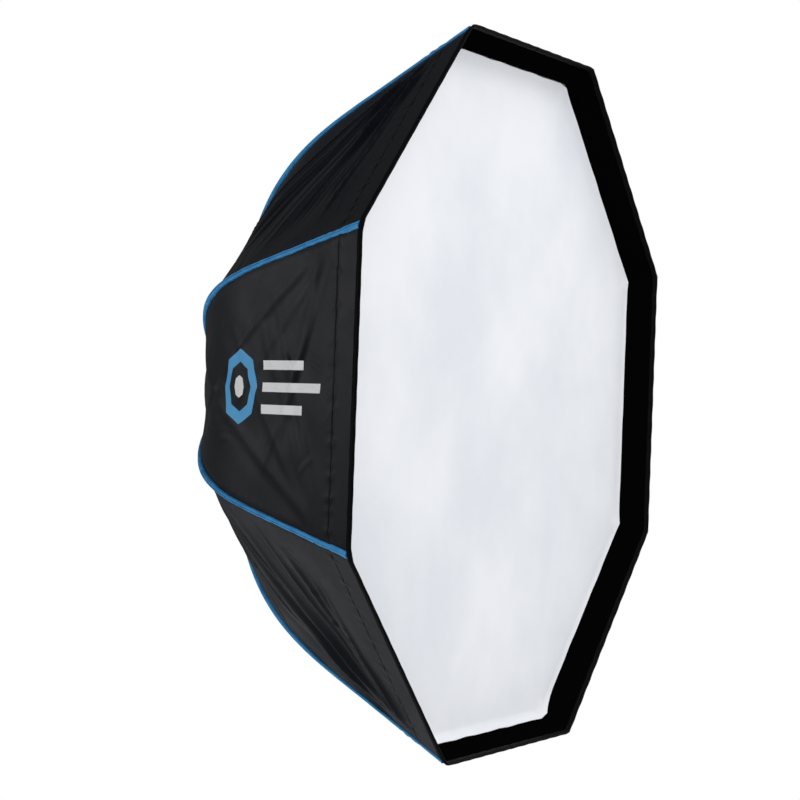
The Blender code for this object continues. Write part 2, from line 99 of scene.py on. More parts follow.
camera = bpy.data.objects.new("camera", bpy.data.cameras.new("camera"))
bpy.context.scene.collection.objects.link(camera)
camera.data.lens = LENS_MM
aim = Vector((0, -rim_forward, 0)) - AIM_LEFT * right - AIM_DOWN * up
camera.matrix_world = (Matrix.Translation(aim + CAMERA_DISTANCE * back)
                       @ Matrix((right, up, back)).transposed().to_4x4())
bpy.context.scene.camera = camera
print("camera at", [round(v, 3) for v in camera.matrix_world.translation])

# %% [markdown]
# ## Colours and nodes
# Colours are written as people read them, in sRGB hex, and one function turns them into the
# linear values that the shader adds up. One other function adds a node: it sets the node's own
# settings, fills in its plain inputs and links the inputs that are given a socket.

# %% Colour and node helpers
def colour(code):
    """The linear RGBA of an sRGB hex code."""
    parts = [int(code[i:i + 2], 16) / 255 for i in (0, 2, 4)]
    return tuple(c / 12.92 if c <= 0.04045 else ((c + 0.055) / 1.055) ** 2.4
                 for c in parts) + (1.0,)


def add(tree, kind, inputs=None, **settings):
    """Add one node to the tree. An input given a socket is linked, and any other is filled in."""
    made = tree.nodes.new("ShaderNode" + kind)
    for name, value in settings.items():
        setattr(made, name, value)
    for key, value in (inputs or {}).items():
        if isinstance(value, bpy.types.NodeSocket):
            tree.links.new(value, made.inputs[key])
        else:
            made.inputs[key].default_value = value
    return made


def new_material(name, **plain):
    """A material and its tree and main shader, with the shader's plain inputs filled in."""
    made = bpy.data.materials.new(name)
    made.use_nodes = True
    shader = made.node_tree.nodes["Principled BSDF"]
    for key, value in plain.items():
        shader.inputs[key.replace("_", " ")].default_value = value
    return made, made.node_tree, shader


def mottled(tree, where, scale, detail, dark, light, low=0.0, high=1.0, **settings):
    """Noise over a piece, and the colours from dark to light that it picks."""
    noise = add(tree, "TexNoise", {"Vector": where, "Scale": scale, "Detail": detail, **settings})
    ramp = add(tree, "ValToRGB", {"Fac": noise.outputs["Fac"]})
    first, last = ramp.color_ramp.elements
    first.position, last.position = low, high
    first.color, last.color = colour(dark), colour(light)
    return noise.outputs["Fac"], ramp.outputs["Color"]


def roughen(tree, shader, amount, low, high):
    """Let the roughness run from low to high with the amount."""
    dull = add(tree, "MapRange", {"Value": amount, "To Min": low, "To Max": high})
    tree.links.new(dull.outputs["Result"], shader.inputs["Roughness"])


def emboss(tree, shader, height, distance, strength=1.0):
    """Raise the height field by this many metres as a bump."""
    relief = add(tree, "Bump", {"Height": height, "Distance": distance, "Strength": strength})
    tree.links.new(relief.outputs["Normal"], shader.inputs["Normal"])


print("black cloth in linear light", [round(c, 4) for c in colour("080a11")[:3]])

# %% [markdown]
# ## The seam curve
# Eight panels are sewn together over eight ribs, and each seam follows its rib. The curve of one
# seam is the whole shape of the softbox, so it is read from the edge of a CAD panel: a steep bow
# near the hub, and a straight run to the rim. A smooth curve through the CAD's stations takes the
# small flats out of it.

# %% Read the seam from the frame
RIBS = 8
STEP = 2 * math.pi / RIBS
HALF = STEP / 2
COS, SIN = math.cos(HALF), math.sin(HALF)
FORWARD = np.array((0.0, -1.0, 0.0))
SEAM_GAP = 0.0008


def spoke(angle):
    """The outward and the sideways direction at an angle round the axis."""
    return (np.array((math.cos(angle), 0.0, math.sin(angle))),
            np.array((-math.sin(angle), 0.0, math.cos(angle))))


def rib_angle(k):
    return HALF + STEP * (k - 1)


def from_rib(angle):
    """The angle from the nearest rib."""
    return np.abs(angle % STEP - HALF)


corners = np.array([v.co for v in frame["nodes"]["panel_1"].data.vertices])
outward, sideways = spoke(rib_angle(1))
edge = corners[np.abs(corners @ sideways - SEAM_GAP) < 1e-4]
SEAM = np.unique(np.round(np.stack([edge @ outward, edge @ FORWARD], 1), 5), axis=0)
SEAM = SEAM[np.argsort(SEAM[:, 1])]
ALONG = np.concatenate([[0], np.cumsum(np.linalg.norm(np.diff(SEAM, axis=0), axis=1))])
SEAM_END = ALONG[-1]
slopes = np.gradient(SEAM, ALONG, axis=0)
slopes[-2:] = (SEAM[-1] - SEAM[-2]) / (ALONG[-1] - ALONG[-2])


def seam(s):
    """Radius, forward place and unit direction of the seam, s metres along it from the hub."""
    s = np.asarray(s, float)
    i = np.clip(np.searchsorted(ALONG, s, side="right") - 1, 0, len(ALONG) - 2)
    span = (ALONG[i + 1] - ALONG[i])[..., None]
    u = (s[..., None] - ALONG[i][..., None]) / span
    p, q, m, n = SEAM[i], SEAM[i + 1], slopes[i] * span, slopes[i + 1] * span
    place = ((2 * u**3 - 3 * u**2 + 1) * p + (u**3 - 2 * u**2 + u) * m
             + (3 * u**2 - 2 * u**3) * q + (u**3 - u**2) * n)
    turn = ((6 * u**2 - 6 * u) * (p - q) + (3 * u**2 - 4 * u + 1) * m + (3 * u**2 - 2 * u) * n)
    turn = turn / np.linalg.norm(turn, axis=-1, keepdims=True)
    return place[..., 0], place[..., 1], turn[..., 0], turn[..., 1]


DIFFUSER_FORWARD = -sum(c.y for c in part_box("front_diffuser")) / 2
dense = np.linspace(0, SEAM_END, 2000)
LIP_START = float(np.interp(DIFFUSER_FORWARD, seam(dense)[1], dense))
print(f"seam {SEAM_END:.4f} m long, lip {SEAM_END - LIP_START:.4f} m deep")

# %% [markdown]
# ## How far the cloth crumples
# When the frame folds, each rib swings in and the cloth between two ribs has nowhere to go, so it
# crumples. Here every rib carries the half panels on both of its sides, cut across into bands. The
# bands are cut at even steps of the share of a panel's width that is left when the ribs have
# swung in. More bands would follow the fold more closely, and fewer are lighter.

# %% Work out the share that is kept
fold = next(j for j in frame["joints"] if j["name"] == "frame_fold")
HINGE_RADIUS, HINGE_FORWARD = math.hypot(fold["pos_m"][0], fold["pos_m"][2]), -fold["pos_m"][1]
FOLD = math.radians(fold["range_deg"][1])
BANDS = 7


def kept_width(s):
    """The share of a panel's width that is left at s when the frame has folded."""
    radius, forward, _, _ = seam(s)
    middle = radius * COS**2
    folded = (HINGE_RADIUS + (middle - HINGE_RADIUS) * math.cos(FOLD)
              - (forward - HINGE_FORWARD) * math.sin(FOLD))
    return folded / middle


rows = np.arange(0, SEAM_END, 0.0040)
near_lip = LIP_START + np.arange(-6, 7) * 0.0012
STATIONS = np.sort(np.concatenate([rows[np.abs(rows - LIP_START) > 0.0085], near_lip,
                                   SEAM_END - np.array([0.0018, 0.0])]))
lip_row = int(np.argmin(np.abs(STATIONS - LIP_START)))
levels = np.linspace(kept_width(0.0), kept_width(LIP_START), BANDS + 1)
BAND_ROWS = [int(np.argmin(np.abs(kept_width(STATIONS[:lip_row + 1]) - v))) for v in levels]
BAND_ROWS[0], BAND_ROWS[-1] = 0, lip_row
BAND_ROWS.append(len(STATIONS) - 1)
print("bands start at", [round(float(STATIONS[i]), 3) for i in BAND_ROWS], "m")

# %% [markdown]
# ## The cloth's surface
# Between two ribs the coated nylon is pulled tight both ways. It hollows a little behind the bow
# of the ribs, and thin tension folds run from the corners of the rim, where the pull is greatest.
# Where the lip is stitched on, the thread gathers the cloth into small puckers. All of that is
# one height field over each flat panel, made from numbers with a fixed seed, so neighbouring
# bands meet exactly and the cloth is the same each time.

# %% Folds of each panel
COLUMNS = 44
across = np.linspace(0, 1, COLUMNS + 1) ** 1.12
ACROSS = np.concatenate([-1 + across, (1 - across[::-1])[1:]])


def bump_over(x, start, end):
    """1 between start and end, fading smoothly to 0 over the outer sixth at both ends."""
    t = (x - start) / (end - start)
    u = np.clip(np.minimum(t, 1 - t) * 6, 0, 1)
    return u * u * (3 - 2 * u)


def ridge(x, y, start, end, height, width, bow):
    """A tension fold: a ridge with a shallow valley beside it, from start to end."""
    (x0, y0), (x1, y1) = start, end
    length = math.hypot(x1 - x0, y1 - y0)
    ux, uy = (x1 - x0) / length, (y1 - y0) / length
    t = ((x - x0) * ux + (y - y0) * uy) / length
    off = (y - y0) * ux - (x - x0) * uy - bow * length * 4 * t * (1 - t)
    off = off / width
    shape = np.exp(-off**2) - 0.5 * np.exp(-((off - 1.7) / 1.4) ** 2)
    return height * shape * bump_over(t, 0, 1)


def half_width(s):
    """Half of a panel's flat width at s."""
    return float(seam(s)[0]) * SIN


# fans of folds from the rim's corners, by panel: (side, how many, height, width)
FANS = {3: [(-1, 16, 0.00150, 0.0038)],
        4: [(1, 4, 0.0010, 0.008), (-1, 4, 0.0008, 0.006)],
        5: [(1, 9, 0.00250, 0.0085), (1, 7, 0.0012, 0.004)]}
PLAIN_FANS = [(-1, 6, 0.0009, 0.005), (1, 6, 0.0009, 0.005)]


def panel_folds(g, rng):
    """The folds of panel g: (start, end, height, width, bow), with x across and y along it."""
    folds = []
    for side, count, height, width in FANS.get(g, PLAIN_FANS):
        for n in range(count):
            from_rim = LIP_START - 0.006 - 0.03 * rng.random()
            start = (side * half_width(from_rim) * (0.97 - 0.10 * rng.random()), from_rim)
            reach = 0.10 + 0.34 * (n + rng.random()) / count
            end = (-side * half_width(reach) * (0.9 - 0.5 * rng.random()), reach)
            folds.append((start, end, height * (0.5 + rng.random()),
                          width * (0.7 + 0.6 * rng.random()), 0.04 * (rng.random() - 0.5)))
    for _ in range(26 if g in (3, 5) else 16):     # short crossing creases, left from packing
        s = 0.14 + 0.36 * rng.random()
        x = half_width(s) * 1.3 * (rng.random() - 0.5)
        turn, length = math.pi * rng.random(), 0.02 + 0.04 * rng.random()
        folds.append(((x, s), (x + length * math.cos(turn), s + length * math.sin(turn)),
                      0.0007 * (0.3 + rng.random()), 0.0024, 0.1 * (rng.random() - 0.5)))
    for s, height in ((0.050, 0.0007), (0.105, 0.0013)):     # buckles across the bow
        s += 0.015 * rng.random()
        folds.append(((-half_width(s) * 0.85, s), (half_width(s) * 0.85, s + 0.01 * rng.random()),
                      -height, 0.0075, 0.03))
    return folds


def panel_height(g, s, v):
    """How far panel g stands out from its flat, at s along it and v across it (-1 to 1)."""
    rng = np.random.default_rng(100 + g)
    radius = seam(s)[0]
    x = v * radius * SIN
    y = s + 0 * v
    inside = 1 - v**2
    ends = np.clip(s / 0.04, 0, 1) * np.clip((LIP_START - s) / 0.05, 0, 1)
    bow = 0.0058 * np.exp(-((s - 0.12) / 0.07) ** 2) + 0.0020 * np.exp(-((s - 0.33) / 0.13) ** 2)
    height = -bow * inside * ends
    for _ in range(5):                       # broad, soft unevenness
        turn, wave = math.pi * rng.random(), 0.06 + 0.10 * rng.random()
        height = height + (0.0005 * np.sqrt(inside) * ends * np.cos(
            2 * math.pi * (x * math.cos(turn) + y * math.sin(turn)) / wave
            + 6.28 * rng.random()))
    total = 0
    for start, end, rise, width, bend in panel_folds(g, rng):
        total = total + ridge(x, y, start, end, rise, width, bend)
    edge_fade = np.clip((1 - np.abs(v)) * radius * SIN / 0.012, 0, 1)
    body_fade = np.clip((LIP_START - s) / 0.012, 0, 1)
    height = height + total * edge_fade * body_fade
    # puckers beside the stitched line and along the tapes
    from_lip = s - LIP_START
    for wave, size in ((0.0125, 0.00028), (0.0190, 0.00030), (0.031, 0.00025)):
        phase = 6.28 * rng.random()
        fade = np.exp(-(np.where(from_lip < 0, from_lip, from_lip * 1.6) / 0.010) ** 2)
        height = height + size * fade * np.cos(2 * math.pi * x / wave + phase) * edge_fade
    height = height - 0.0007 * np.exp(-(from_lip / 0.0014) ** 2) * edge_fade
    from_seam = (1 - np.abs(v)) * radius * SIN
    phase = 6.28 * rng.random()
    tuck = np.exp(-((from_seam - 0.007) / 0.005) ** 2)
    height = height + 0.00022 * tuck * edge_fade * np.cos(
        2 * math.pi * s / 0.017 + phase + 3 * np.sign(v))
    return height


# %% Every panel as a grid of points
CORNER_ROUND = 0.006
CLOTH = 0.0015


def panel_points(g):
    """Points of panel g's outer face: one row for each station, one column for each place."""
    s, v = STATIONS[:, None], ACROSS[None, :]
    radius, forward, dr, df = (a[:, None] for a in seam(STATIONS))
    out, side = spoke(STEP * g)
    flat = ((radius * COS)[..., None] * out + (v * radius * SIN)[..., None] * side
            + (forward + 0 * v)[..., None] * FORWARD)
    size = np.hypot(df, dr * COS)
    normal = (df / size)[..., None] * out - (dr * COS / size)[..., None] * FORWARD
    points = flat + panel_height(g, s, v)[..., None] * normal
    for sign in (-1, 1):                     # the sewn corner over the rib is a little round
        rib_out, _ = spoke(STEP * g + sign * HALF)
        away = (1 - sign * v) * radius * SIN
        drop = 0.0017 * np.exp(-(away / CORNER_ROUND) ** 2)
        points = points - drop[..., None] * (df[..., None] * rib_out - dr[..., None] * FORWARD)
    return points


def panel_normals(points):
    """The outward direction at each point of a panel's grid."""
    down = np.gradient(points, STATIONS, axis=0)
    over = np.gradient(points, ACROSS, axis=1)
    normal = np.cross(over, down)
    return normal / np.linalg.norm(normal, axis=-1, keepdims=True)


POINTS = {g: panel_points(g) for g in range(1, RIBS + 1)}
NORMALS = {g: panel_normals(p) for g, p in POINTS.items()}
print("panel grid", POINTS[1].shape[:2])

# %% [markdown]
# ## One way to make a sheet of cloth
# A sheet is a grid of points with a second grid a cloth's thickness behind it, and a narrow wall
# round the edge that closes it. Its UV map is in metres over the flat panel, so that a weave, a
# stitch or a print has its true size and runs on from one band to the next.

# %% Sheet and loft helpers
def new_piece(name, verts, faces, materials):
    """A smooth-shaded mesh object from its points and faces."""
    mesh = bpy.data.meshes.new(name)
    mesh.from_pydata([tuple(p) for p in verts], [], faces)
    made = bpy.data.objects.new(name, mesh)
    bpy.context.scene.collection.objects.link(made)
    for material in materials:
        mesh.materials.append(material)
    mesh.polygons.foreach_set("use_smooth", [True] * len(mesh.polygons))
    return made


def face_outwards(mesh):
    """Turn a closed mesh right side out: its signed volume is then above zero."""
    bm = bmesh.new()
    bm.from_mesh(mesh)
    inside_out = bm.calc_volume(signed=True) < 0
    bm.free()
    if inside_out:
        mesh.flip_normals()


def quads(grid, flip=False):
    """Faces between neighbouring rows and columns of a grid of point numbers."""
    a, b, c, d = grid[:-1, :-1], grid[:-1, 1:], grid[1:, 1:], grid[1:, :-1]
    found = np.stack([a, b, c, d] if not flip else [a, d, c, b], -1)
    return found.reshape(-1, 4)


def sheet_mesh(name, face, inner, normal, materials, paint, uv, gap=None):
    """A closed sheet with its outer points, inner points, outer normals, materials and UVs.
    paint gives the material of each outer cell and inner cell, and uv its two grids of corners."""
    shape = face.shape[:2]
    number = np.arange(face.shape[0] * face.shape[1]).reshape(shape)
    count = number.size
    front, rear = quads(number), quads(number + count, flip=True)
    rim = np.concatenate([number[0, :-1], number[:-1, -1], number[-1, :0:-1], number[:0:-1, 0]])
    nxt = np.roll(rim, -1)
    wall = np.stack([rim, rim + count, nxt + count, nxt], -1)
    faces = np.concatenate([front, rear, wall])
    made = new_piece(name, np.concatenate([face.reshape(-1, 3), inner.reshape(-1, 3)]),
                     faces.tolist(), materials)
    mesh = made.data
    mesh.polygons.foreach_set("material_index", np.concatenate(
        [paint[0].ravel(), paint[1].ravel(), np.zeros(len(wall), int)]).astype(np.int32))
    left, right = uv                         # corner coordinates at each cell's two sides
    cells = np.stack([left[:-1], right[:-1], right[1:], left[1:]], 2).reshape(-1, 4, 2)
    flat_uv = np.zeros((len(faces), 4, 2))
    flat_uv[:len(front)] = cells
    flat_uv[len(front):2 * len(front)] = cells[:, [0, 3, 2, 1]]
    flat_uv[2 * len(front):] = cells[0, 0]
    layer = mesh.uv_layers.new(name="cloth")
    layer.data.foreach_set("uv", flat_uv.astype(np.float32).ravel())
    if gap is not None:
        values = mesh.attributes.new("from_seam", "FLOAT", "POINT")
        values.data.foreach_set("value", np.tile(gap.ravel(), 2).astype(np.float32))
    outer_normals = normal.reshape(-1, 3)
    loops = np.zeros((len(faces), 4, 3))
    loops[:len(front)] = outer_normals[front]
    loops[len(front):2 * len(front)] = -outer_normals[rear - count]
    spots = np.concatenate([face.reshape(-1, 3), inner.reshape(-1, 3)])
    start = spots[wall[:, 0]]
    flat_normal = np.cross(spots[wall[:, 1]] - start, spots[wall[:, 3]] - start)
    flat_normal /= np.maximum(np.linalg.norm(flat_normal, axis=1, keepdims=True), 1e-12)
    loops[2 * len(front):] = flat_normal[:, None]
    mesh.normals_split_custom_set(loops.reshape(-1, 3).tolist())
    return made


def loft(name, sections, materials, uv=None):
    """A closed tube through closed sections of equal point counts, capped at both ends."""
    sections = np.asarray(sections)
    n, m = sections.shape[:2]
    number = np.arange(n * m).reshape(n, m)
    ring = np.concatenate([number, number[:, :1]], axis=1)
    faces = quads(ring).tolist() + [number[0, ::-1].tolist(), number[-1].tolist()]
    made = new_piece(name, sections.reshape(-1, 3), faces, materials)
    if uv is not None:
        grid = np.concatenate([uv, uv[:, :1]], axis=1)
        cells = np.stack([grid[:-1, :-1], grid[:-1, 1:], grid[1:, 1:], grid[1:, :-1]], 2)
        flat_uv = np.zeros((len(made.data.loops), 2))
        flat_uv[:cells.reshape(-1, 2).shape[0]] = cells.reshape(-1, 2)
        made.data.uv_layers.new(name="cloth").data.foreach_set(
            "uv", flat_uv.astype(np.float32).ravel())
    face_outwards(made.data)
    return made


print("helpers ready")

# %% [markdown]
# ## Black coated nylon
# The shell is 210-denier nylon, woven plain and coated so that no light leaks out. A coating
# leaves a dull face with a soft silky sheen at grazing angles, and only a trace of the threads.
# The real threads are 0.35 mm apart, which is too fine to show, so they are drawn 1.1 mm apart.
# The puckered stitch line where the lip is sewn on is a row of 3 mm stitches. Painted shade
# darkens the cloth along its groove.

# %% Shell cloth
THREAD_SHOWN = 0.0011
STITCH, STITCH_GAP = 0.0030, 0.0012


def wave_scale(period):
    """The Wave Texture's scale that gives bands this many metres apart."""
    return math.pi / 10 / period


def woven(tree, where, period, depth, softness=0.2):
    """A plain weave on the UV map: two crossed sets of rounded threads, as a bump."""
    warp, weft = (add(tree, "TexWave", {"Vector": where, "Scale": wave_scale(period)},
                      bands_direction=way, wave_profile="SIN") for way in "XY")
    over = add(tree, "Math", {0: warp.outputs["Fac"], 1: weft.outputs["Fac"]},
               operation="MULTIPLY")
    rough = add(tree, "TexNoise", {"Vector": where, "Scale": 1 / (period * 4), "Detail": 3.0})
    both = add(tree, "Math", {0: over.outputs[0], 1: rough.outputs["Fac"]}, operation="ADD")
    return add(tree, "Bump", {"Height": both.outputs[0], "Distance": depth, "Strength": softness})


def dashes(tree, u, v, at, width, run=STITCH + STITCH_GAP):
    """1 on a row of stitches that runs along u at the place v = at, and 0 beside it."""
    off = add(tree, "Math", {0: v, 1: at}, operation="SUBTRACT")
    near = add(tree, "Math", {0: off.outputs[0]}, operation="ABSOLUTE")
    line = add(tree, "MapRange", {"Value": near.outputs[0], "From Min": width / 2,
                                  "From Max": width / 4})
    turns = add(tree, "Math", {0: u, 1: 1 / run}, operation="MULTIPLY")
    part = add(tree, "Math", {0: turns.outputs[0]}, operation="FRACT")
    sewn = add(tree, "Math", {0: part.outputs[0], 1: STITCH / run}, operation="LESS_THAN")
    return add(tree, "Math", {0: line.outputs[0], 1: sewn.outputs[0]},
               operation="MULTIPLY").outputs[0]


def shell_cloth(name, printed=False):
    """Black coated nylon: near black, dull, with a grey silky sheen at grazing angles."""
    made, tree, shader = new_material(name, Specular_IOR_Level=0.08, Sheen_Weight=0.010,
                                      Sheen_Roughness=0.35)
    shader.inputs["Sheen Tint"].default_value = colour("c9ccd6")
    cloth = add(tree, "UVMap", uv_map="cloth").outputs["UV"]
    parts = add(tree, "SeparateXYZ", {"Vector": cloth})
    u, v = parts.outputs["X"], parts.outputs["Y"]
    mottle, base = mottled(tree, cloth, 22.0, 5.0, "080a11", "10131c", 0.32, 0.72, Roughness=0.6)
    # cloth that is rubbed where the frame presses it from inside is a little greyer
    gap = add(tree, "Attribute", attribute_name="from_seam").outputs["Fac"]
    worn = add(tree, "MapRange", {"Value": gap, "From Min": 0.016, "From Max": 0.0045,
                                  "To Max": 0.30})
    patchy = add(tree, "Math", {0: worn.outputs["Result"], 1: mottle}, operation="MULTIPLY")
    paint = add(tree, "MixRGB", {"Fac": patchy.outputs[0], "Color1": base,
                                 "Color2": colour("4b4c50")})
    stitched = dashes(tree, u, v, LIP_START, 0.0012)
    # painted shade: the cloth is darkened towards 060607 along the groove of the lip's stitch line
    off = add(tree, "Math", {0: v, 1: LIP_START}, operation="SUBTRACT")
    near = add(tree, "Math", {0: off.outputs[0]}, operation="ABSOLUTE")
    groove_shade = add(tree, "MapRange", {"Value": near.outputs[0], "From Min": 0.0024,
                                    "From Max": 0.0006, "To Max": 0.8})
    shade = add(tree, "MixRGB", {"Fac": groove_shade.outputs["Result"], "Color1": paint.outputs[0],
                                 "Color2": colour("060607")})
    last = add(tree, "MixRGB", {"Fac": stitched, "Color1": shade.outputs[0],
                                "Color2": colour("26272b")})
    if printed:
        last = printed_mark(tree, u, v, cloth, last)
    tree.links.new(last.outputs[0], shader.inputs["Base Color"])
    roughen(tree, shader, mottle, 0.34, 0.52)
    tree.links.new(woven(tree, cloth, THREAD_SHOWN, 0.00020).outputs["Normal"],
                   shader.inputs["Normal"])
    return made


PRINTED_PANEL, MARK_AT, MARK_SIZE, BEAM = 4, 0.300, 0.041, 0.125


def printed_mark(tree, u, v, cloth, under):
    """The plain mark on one panel, screen-printed: a blue octagon and three white beams."""
    across_panel = add(tree, "Math", {0: u, 1: float(PRINTED_PANEL)}, operation="SUBTRACT")
    x = across_panel.outputs[0]
    y = add(tree, "Math", {0: v, 1: MARK_AT}, operation="SUBTRACT").outputs[0]
    far = None
    for turn in (0, math.pi / 4, math.pi / 2, 3 * math.pi / 4):
        a = add(tree, "Math", {0: x, 1: math.cos(turn + HALF)}, operation="MULTIPLY")
        b = add(tree, "Math", {0: y, 1: math.sin(turn + HALF), 2: a.outputs[0]},
                operation="MULTIPLY_ADD")
        side = add(tree, "Math", {0: b.outputs[0]}, operation="ABSOLUTE")
        far = (side.outputs[0] if far is None else
               add(tree, "Math", {0: far, 1: side.outputs[0]}, operation="MAXIMUM").outputs[0])
    outer = add(tree, "Math", {0: far, 1: MARK_SIZE}, operation="LESS_THAN")
    inner = add(tree, "Math", {0: far, 1: MARK_SIZE * 0.66}, operation="GREATER_THAN")
    ring = add(tree, "Math", {0: outer.outputs[0], 1: inner.outputs[0]}, operation="MULTIPLY")
    heart = add(tree, "Math", {0: far, 1: MARK_SIZE * 0.30}, operation="LESS_THAN")
    beams = None
    for place, length in ((-0.62, 0.70), (0.0, 1.0), (0.62, 0.70)):
        off = add(tree, "Math", {0: x, 1: place * MARK_SIZE}, operation="SUBTRACT")
        band = add(tree, "Math", {0: off.outputs[0]}, operation="ABSOLUTE")
        thin = add(tree, "Math", {0: band.outputs[0], 1: MARK_SIZE * 0.13},
                   operation="LESS_THAN")
        start = add(tree, "Math", {0: y, 1: MARK_SIZE * 1.35}, operation="GREATER_THAN")
        stop = add(tree, "Math", {0: y, 1: MARK_SIZE * 1.35 + BEAM * length},
                   operation="LESS_THAN")
        run = add(tree, "Math", {0: start.outputs[0], 1: stop.outputs[0]}, operation="MULTIPLY")
        bar = add(tree, "Math", {0: thin.outputs[0], 1: run.outputs[0]}, operation="MULTIPLY")
        beams = (bar.outputs[0] if beams is None else
                 add(tree, "Math", {0: beams, 1: bar.outputs[0]}, operation="ADD").outputs[0])
    worn = add(tree, "TexNoise", {"Vector": cloth, "Scale": 900.0, "Detail": 3.0})
    ink = add(tree, "MapRange", {"Value": worn.outputs["Fac"], "From Min": 0.25,
                                 "From Max": 0.45, "To Min": 0.86})
    blue_part = add(tree, "Math", {0: ring.outputs[0], 1: ink.outputs["Result"]},
                    operation="MULTIPLY")
    white = add(tree, "Math", {0: heart.outputs[0], 1: beams}, operation="ADD")
    white_part = add(tree, "Math", {0: white.outputs[0], 1: ink.outputs["Result"]},
                     operation="MULTIPLY")
    blue = add(tree, "MixRGB", {"Fac": blue_part.outputs[0], "Color1": under.outputs[0],
                                "Color2": colour("59aee6")})
    return add(tree, "MixRGB", {"Fac": white_part.outputs[0], "Color1": blue.outputs[0],
                                "Color2": colour("f8f9fc")})


coated_nylon = shell_cloth("black_coated_nylon")
printed_nylon = shell_cloth("black_coated_nylon_printed", printed=True)
print(coated_nylon.name, len(coated_nylon.node_tree.nodes), "nodes;",
      printed_nylon.name, len(printed_nylon.node_tree.nodes), "nodes")

# %% [markdown]
# ## The silver inside and the black lip
# Inside, the same nylon is coated with aluminium powder, which throws the light forward. It looks
# like dull crumpled foil. The inside of the lip is covered with the loop side of a hook-and-loop
# tape, a black pile that gives almost nothing back.

# %% Silver coating and black pile
silver_coating, tree, shader = new_material("silver_coated_nylon", Metallic=0.75,
                                            Specular_IOR_Level=0.5)
where = add(tree, "UVMap", uv_map="cloth").outputs["UV"]
crumple, tone = mottled(tree, where, 60.0, 6.0, "a9adb2", "d6d9dd", Roughness=0.65)
tree.links.new(tone, shader.inputs["Base Color"])
roughen(tree, shader, crumple, 0.28, 0.5)
emboss(tree, shader, crumple, 0.0012, 0.5)

LOOP = 0.0009                                # one loop of the pile
loop_pile, tree, shader = new_material("black_loop_pile", Roughness=0.95,
                                       Specular_IOR_Level=0.0)
where = add(tree, "UVMap", uv_map="cloth").outputs["UV"]
pile, tone = mottled(tree, where, 1 / LOOP, 3.0, "020202", "070708")
tree.links.new(tone, shader.inputs["Base Color"])
emboss(tree, shader, pile, 0.0006)
print(silver_coating.name, loop_pile.name)

# %% [markdown]
# ## Sew the shell
# Each piece of shell reaches from the middle of one panel, over the rib and its seam, to the
# middle of the next panel. It rides on that rib. The last piece of each rib is the lip in front of
# the diffuser.

# %% Shell bands on every rib
def band_grid(k, first, last):
    """Outer points and normals from the middle of one panel over rib k to the next middle."""
    g, h = (k - 2) % RIBS + 1, k
    cut = slice(first, last + 1)
    points = np.concatenate([POINTS[g][cut, COLUMNS:], POINTS[h][cut, 1:COLUMNS + 1]], axis=1)
    normals = np.concatenate([NORMALS[g][cut, COLUMNS:], NORMALS[h][cut, 1:COLUMNS + 1]], axis=1)
    middle = NORMALS[g][cut, -1] + NORMALS[h][cut, 0]
    normals[:, COLUMNS] = middle / np.linalg.norm(middle, axis=-1, keepdims=True)
    return points, normals


def band_uv(k, first, last):
    """Left and right corner coordinates of the cells of a band, in metres over flat panels."""
    s = STATIONS[first:last + 1]
    half = (seam(s)[0] * SIN)[:, None]
    g = (k - 2) % RIBS + 1
    left = g + ACROSS[COLUMNS:] * half
    right = k + ACROSS[:COLUMNS + 1] * half
    low = np.concatenate([left[:, :-1], right[:, :-1]], axis=1)
    high = np.concatenate([left[:, 1:], right[:, 1:]], axis=1)
    up_cloth = s[:, None] + 0 * low
    return np.stack([low, up_cloth], -1), np.stack([high, up_cloth], -1)


def fold_to_rib(piece, k):
    """The piece rides on rib k, with a mesh of its own."""
    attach(piece, f"rib_{k}")
    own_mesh(piece)


for k in range(1, RIBS + 1):
    for band in range(BANDS + 1):
        first, last = BAND_ROWS[band], BAND_ROWS[band + 1]
        face, normal = band_grid(k, first, last)
        cells = (last - first, 2 * COLUMNS)
        lip = band == BANDS
        outer = np.zeros(cells, int)
        for panel, half in (((k - 2) % RIBS + 1, slice(0, COLUMNS)),
                            (k, slice(COLUMNS, None))):
            outer[:, half] = 1 if panel == PRINTED_PANEL else 0
        inner = np.full(cells, 3 if lip else 2)
        s = STATIONS[first:last + 1]
        beside = np.concatenate([1 - ACROSS[COLUMNS:], 1 + ACROSS[1:COLUMNS + 1]])
        gap = (seam(s)[0] * SIN)[:, None] * beside
        piece = sheet_mesh(f"shell_lip_{k}" if lip else f"shell_{k}_{band + 1}",
                           face, face - CLOTH * normal, normal,
                           [coated_nylon, printed_nylon, silver_coating, loop_pile],
                           (outer, inner), band_uv(k, first, last), gap)
        fold_to_rib(piece, k)
    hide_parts(f"panel_{k}")

# %% [markdown]
# ## The blue tapes
# Over each seam lies a folded polyester tape, sewn down the middle, so it shows as a wide and a
# narrow roll with a groove between them. It is narrow near the hub and wider towards the rim. It
# is tucked in where it crosses the lip's stitching, and it ends at the rim's binding. A loft
# through a few hundred cross-sections follows the seam and lets each of them differ.

# %% Blue polyester tape
RIB_PITCH = 0.0008                           # the fine ribs across a woven tape

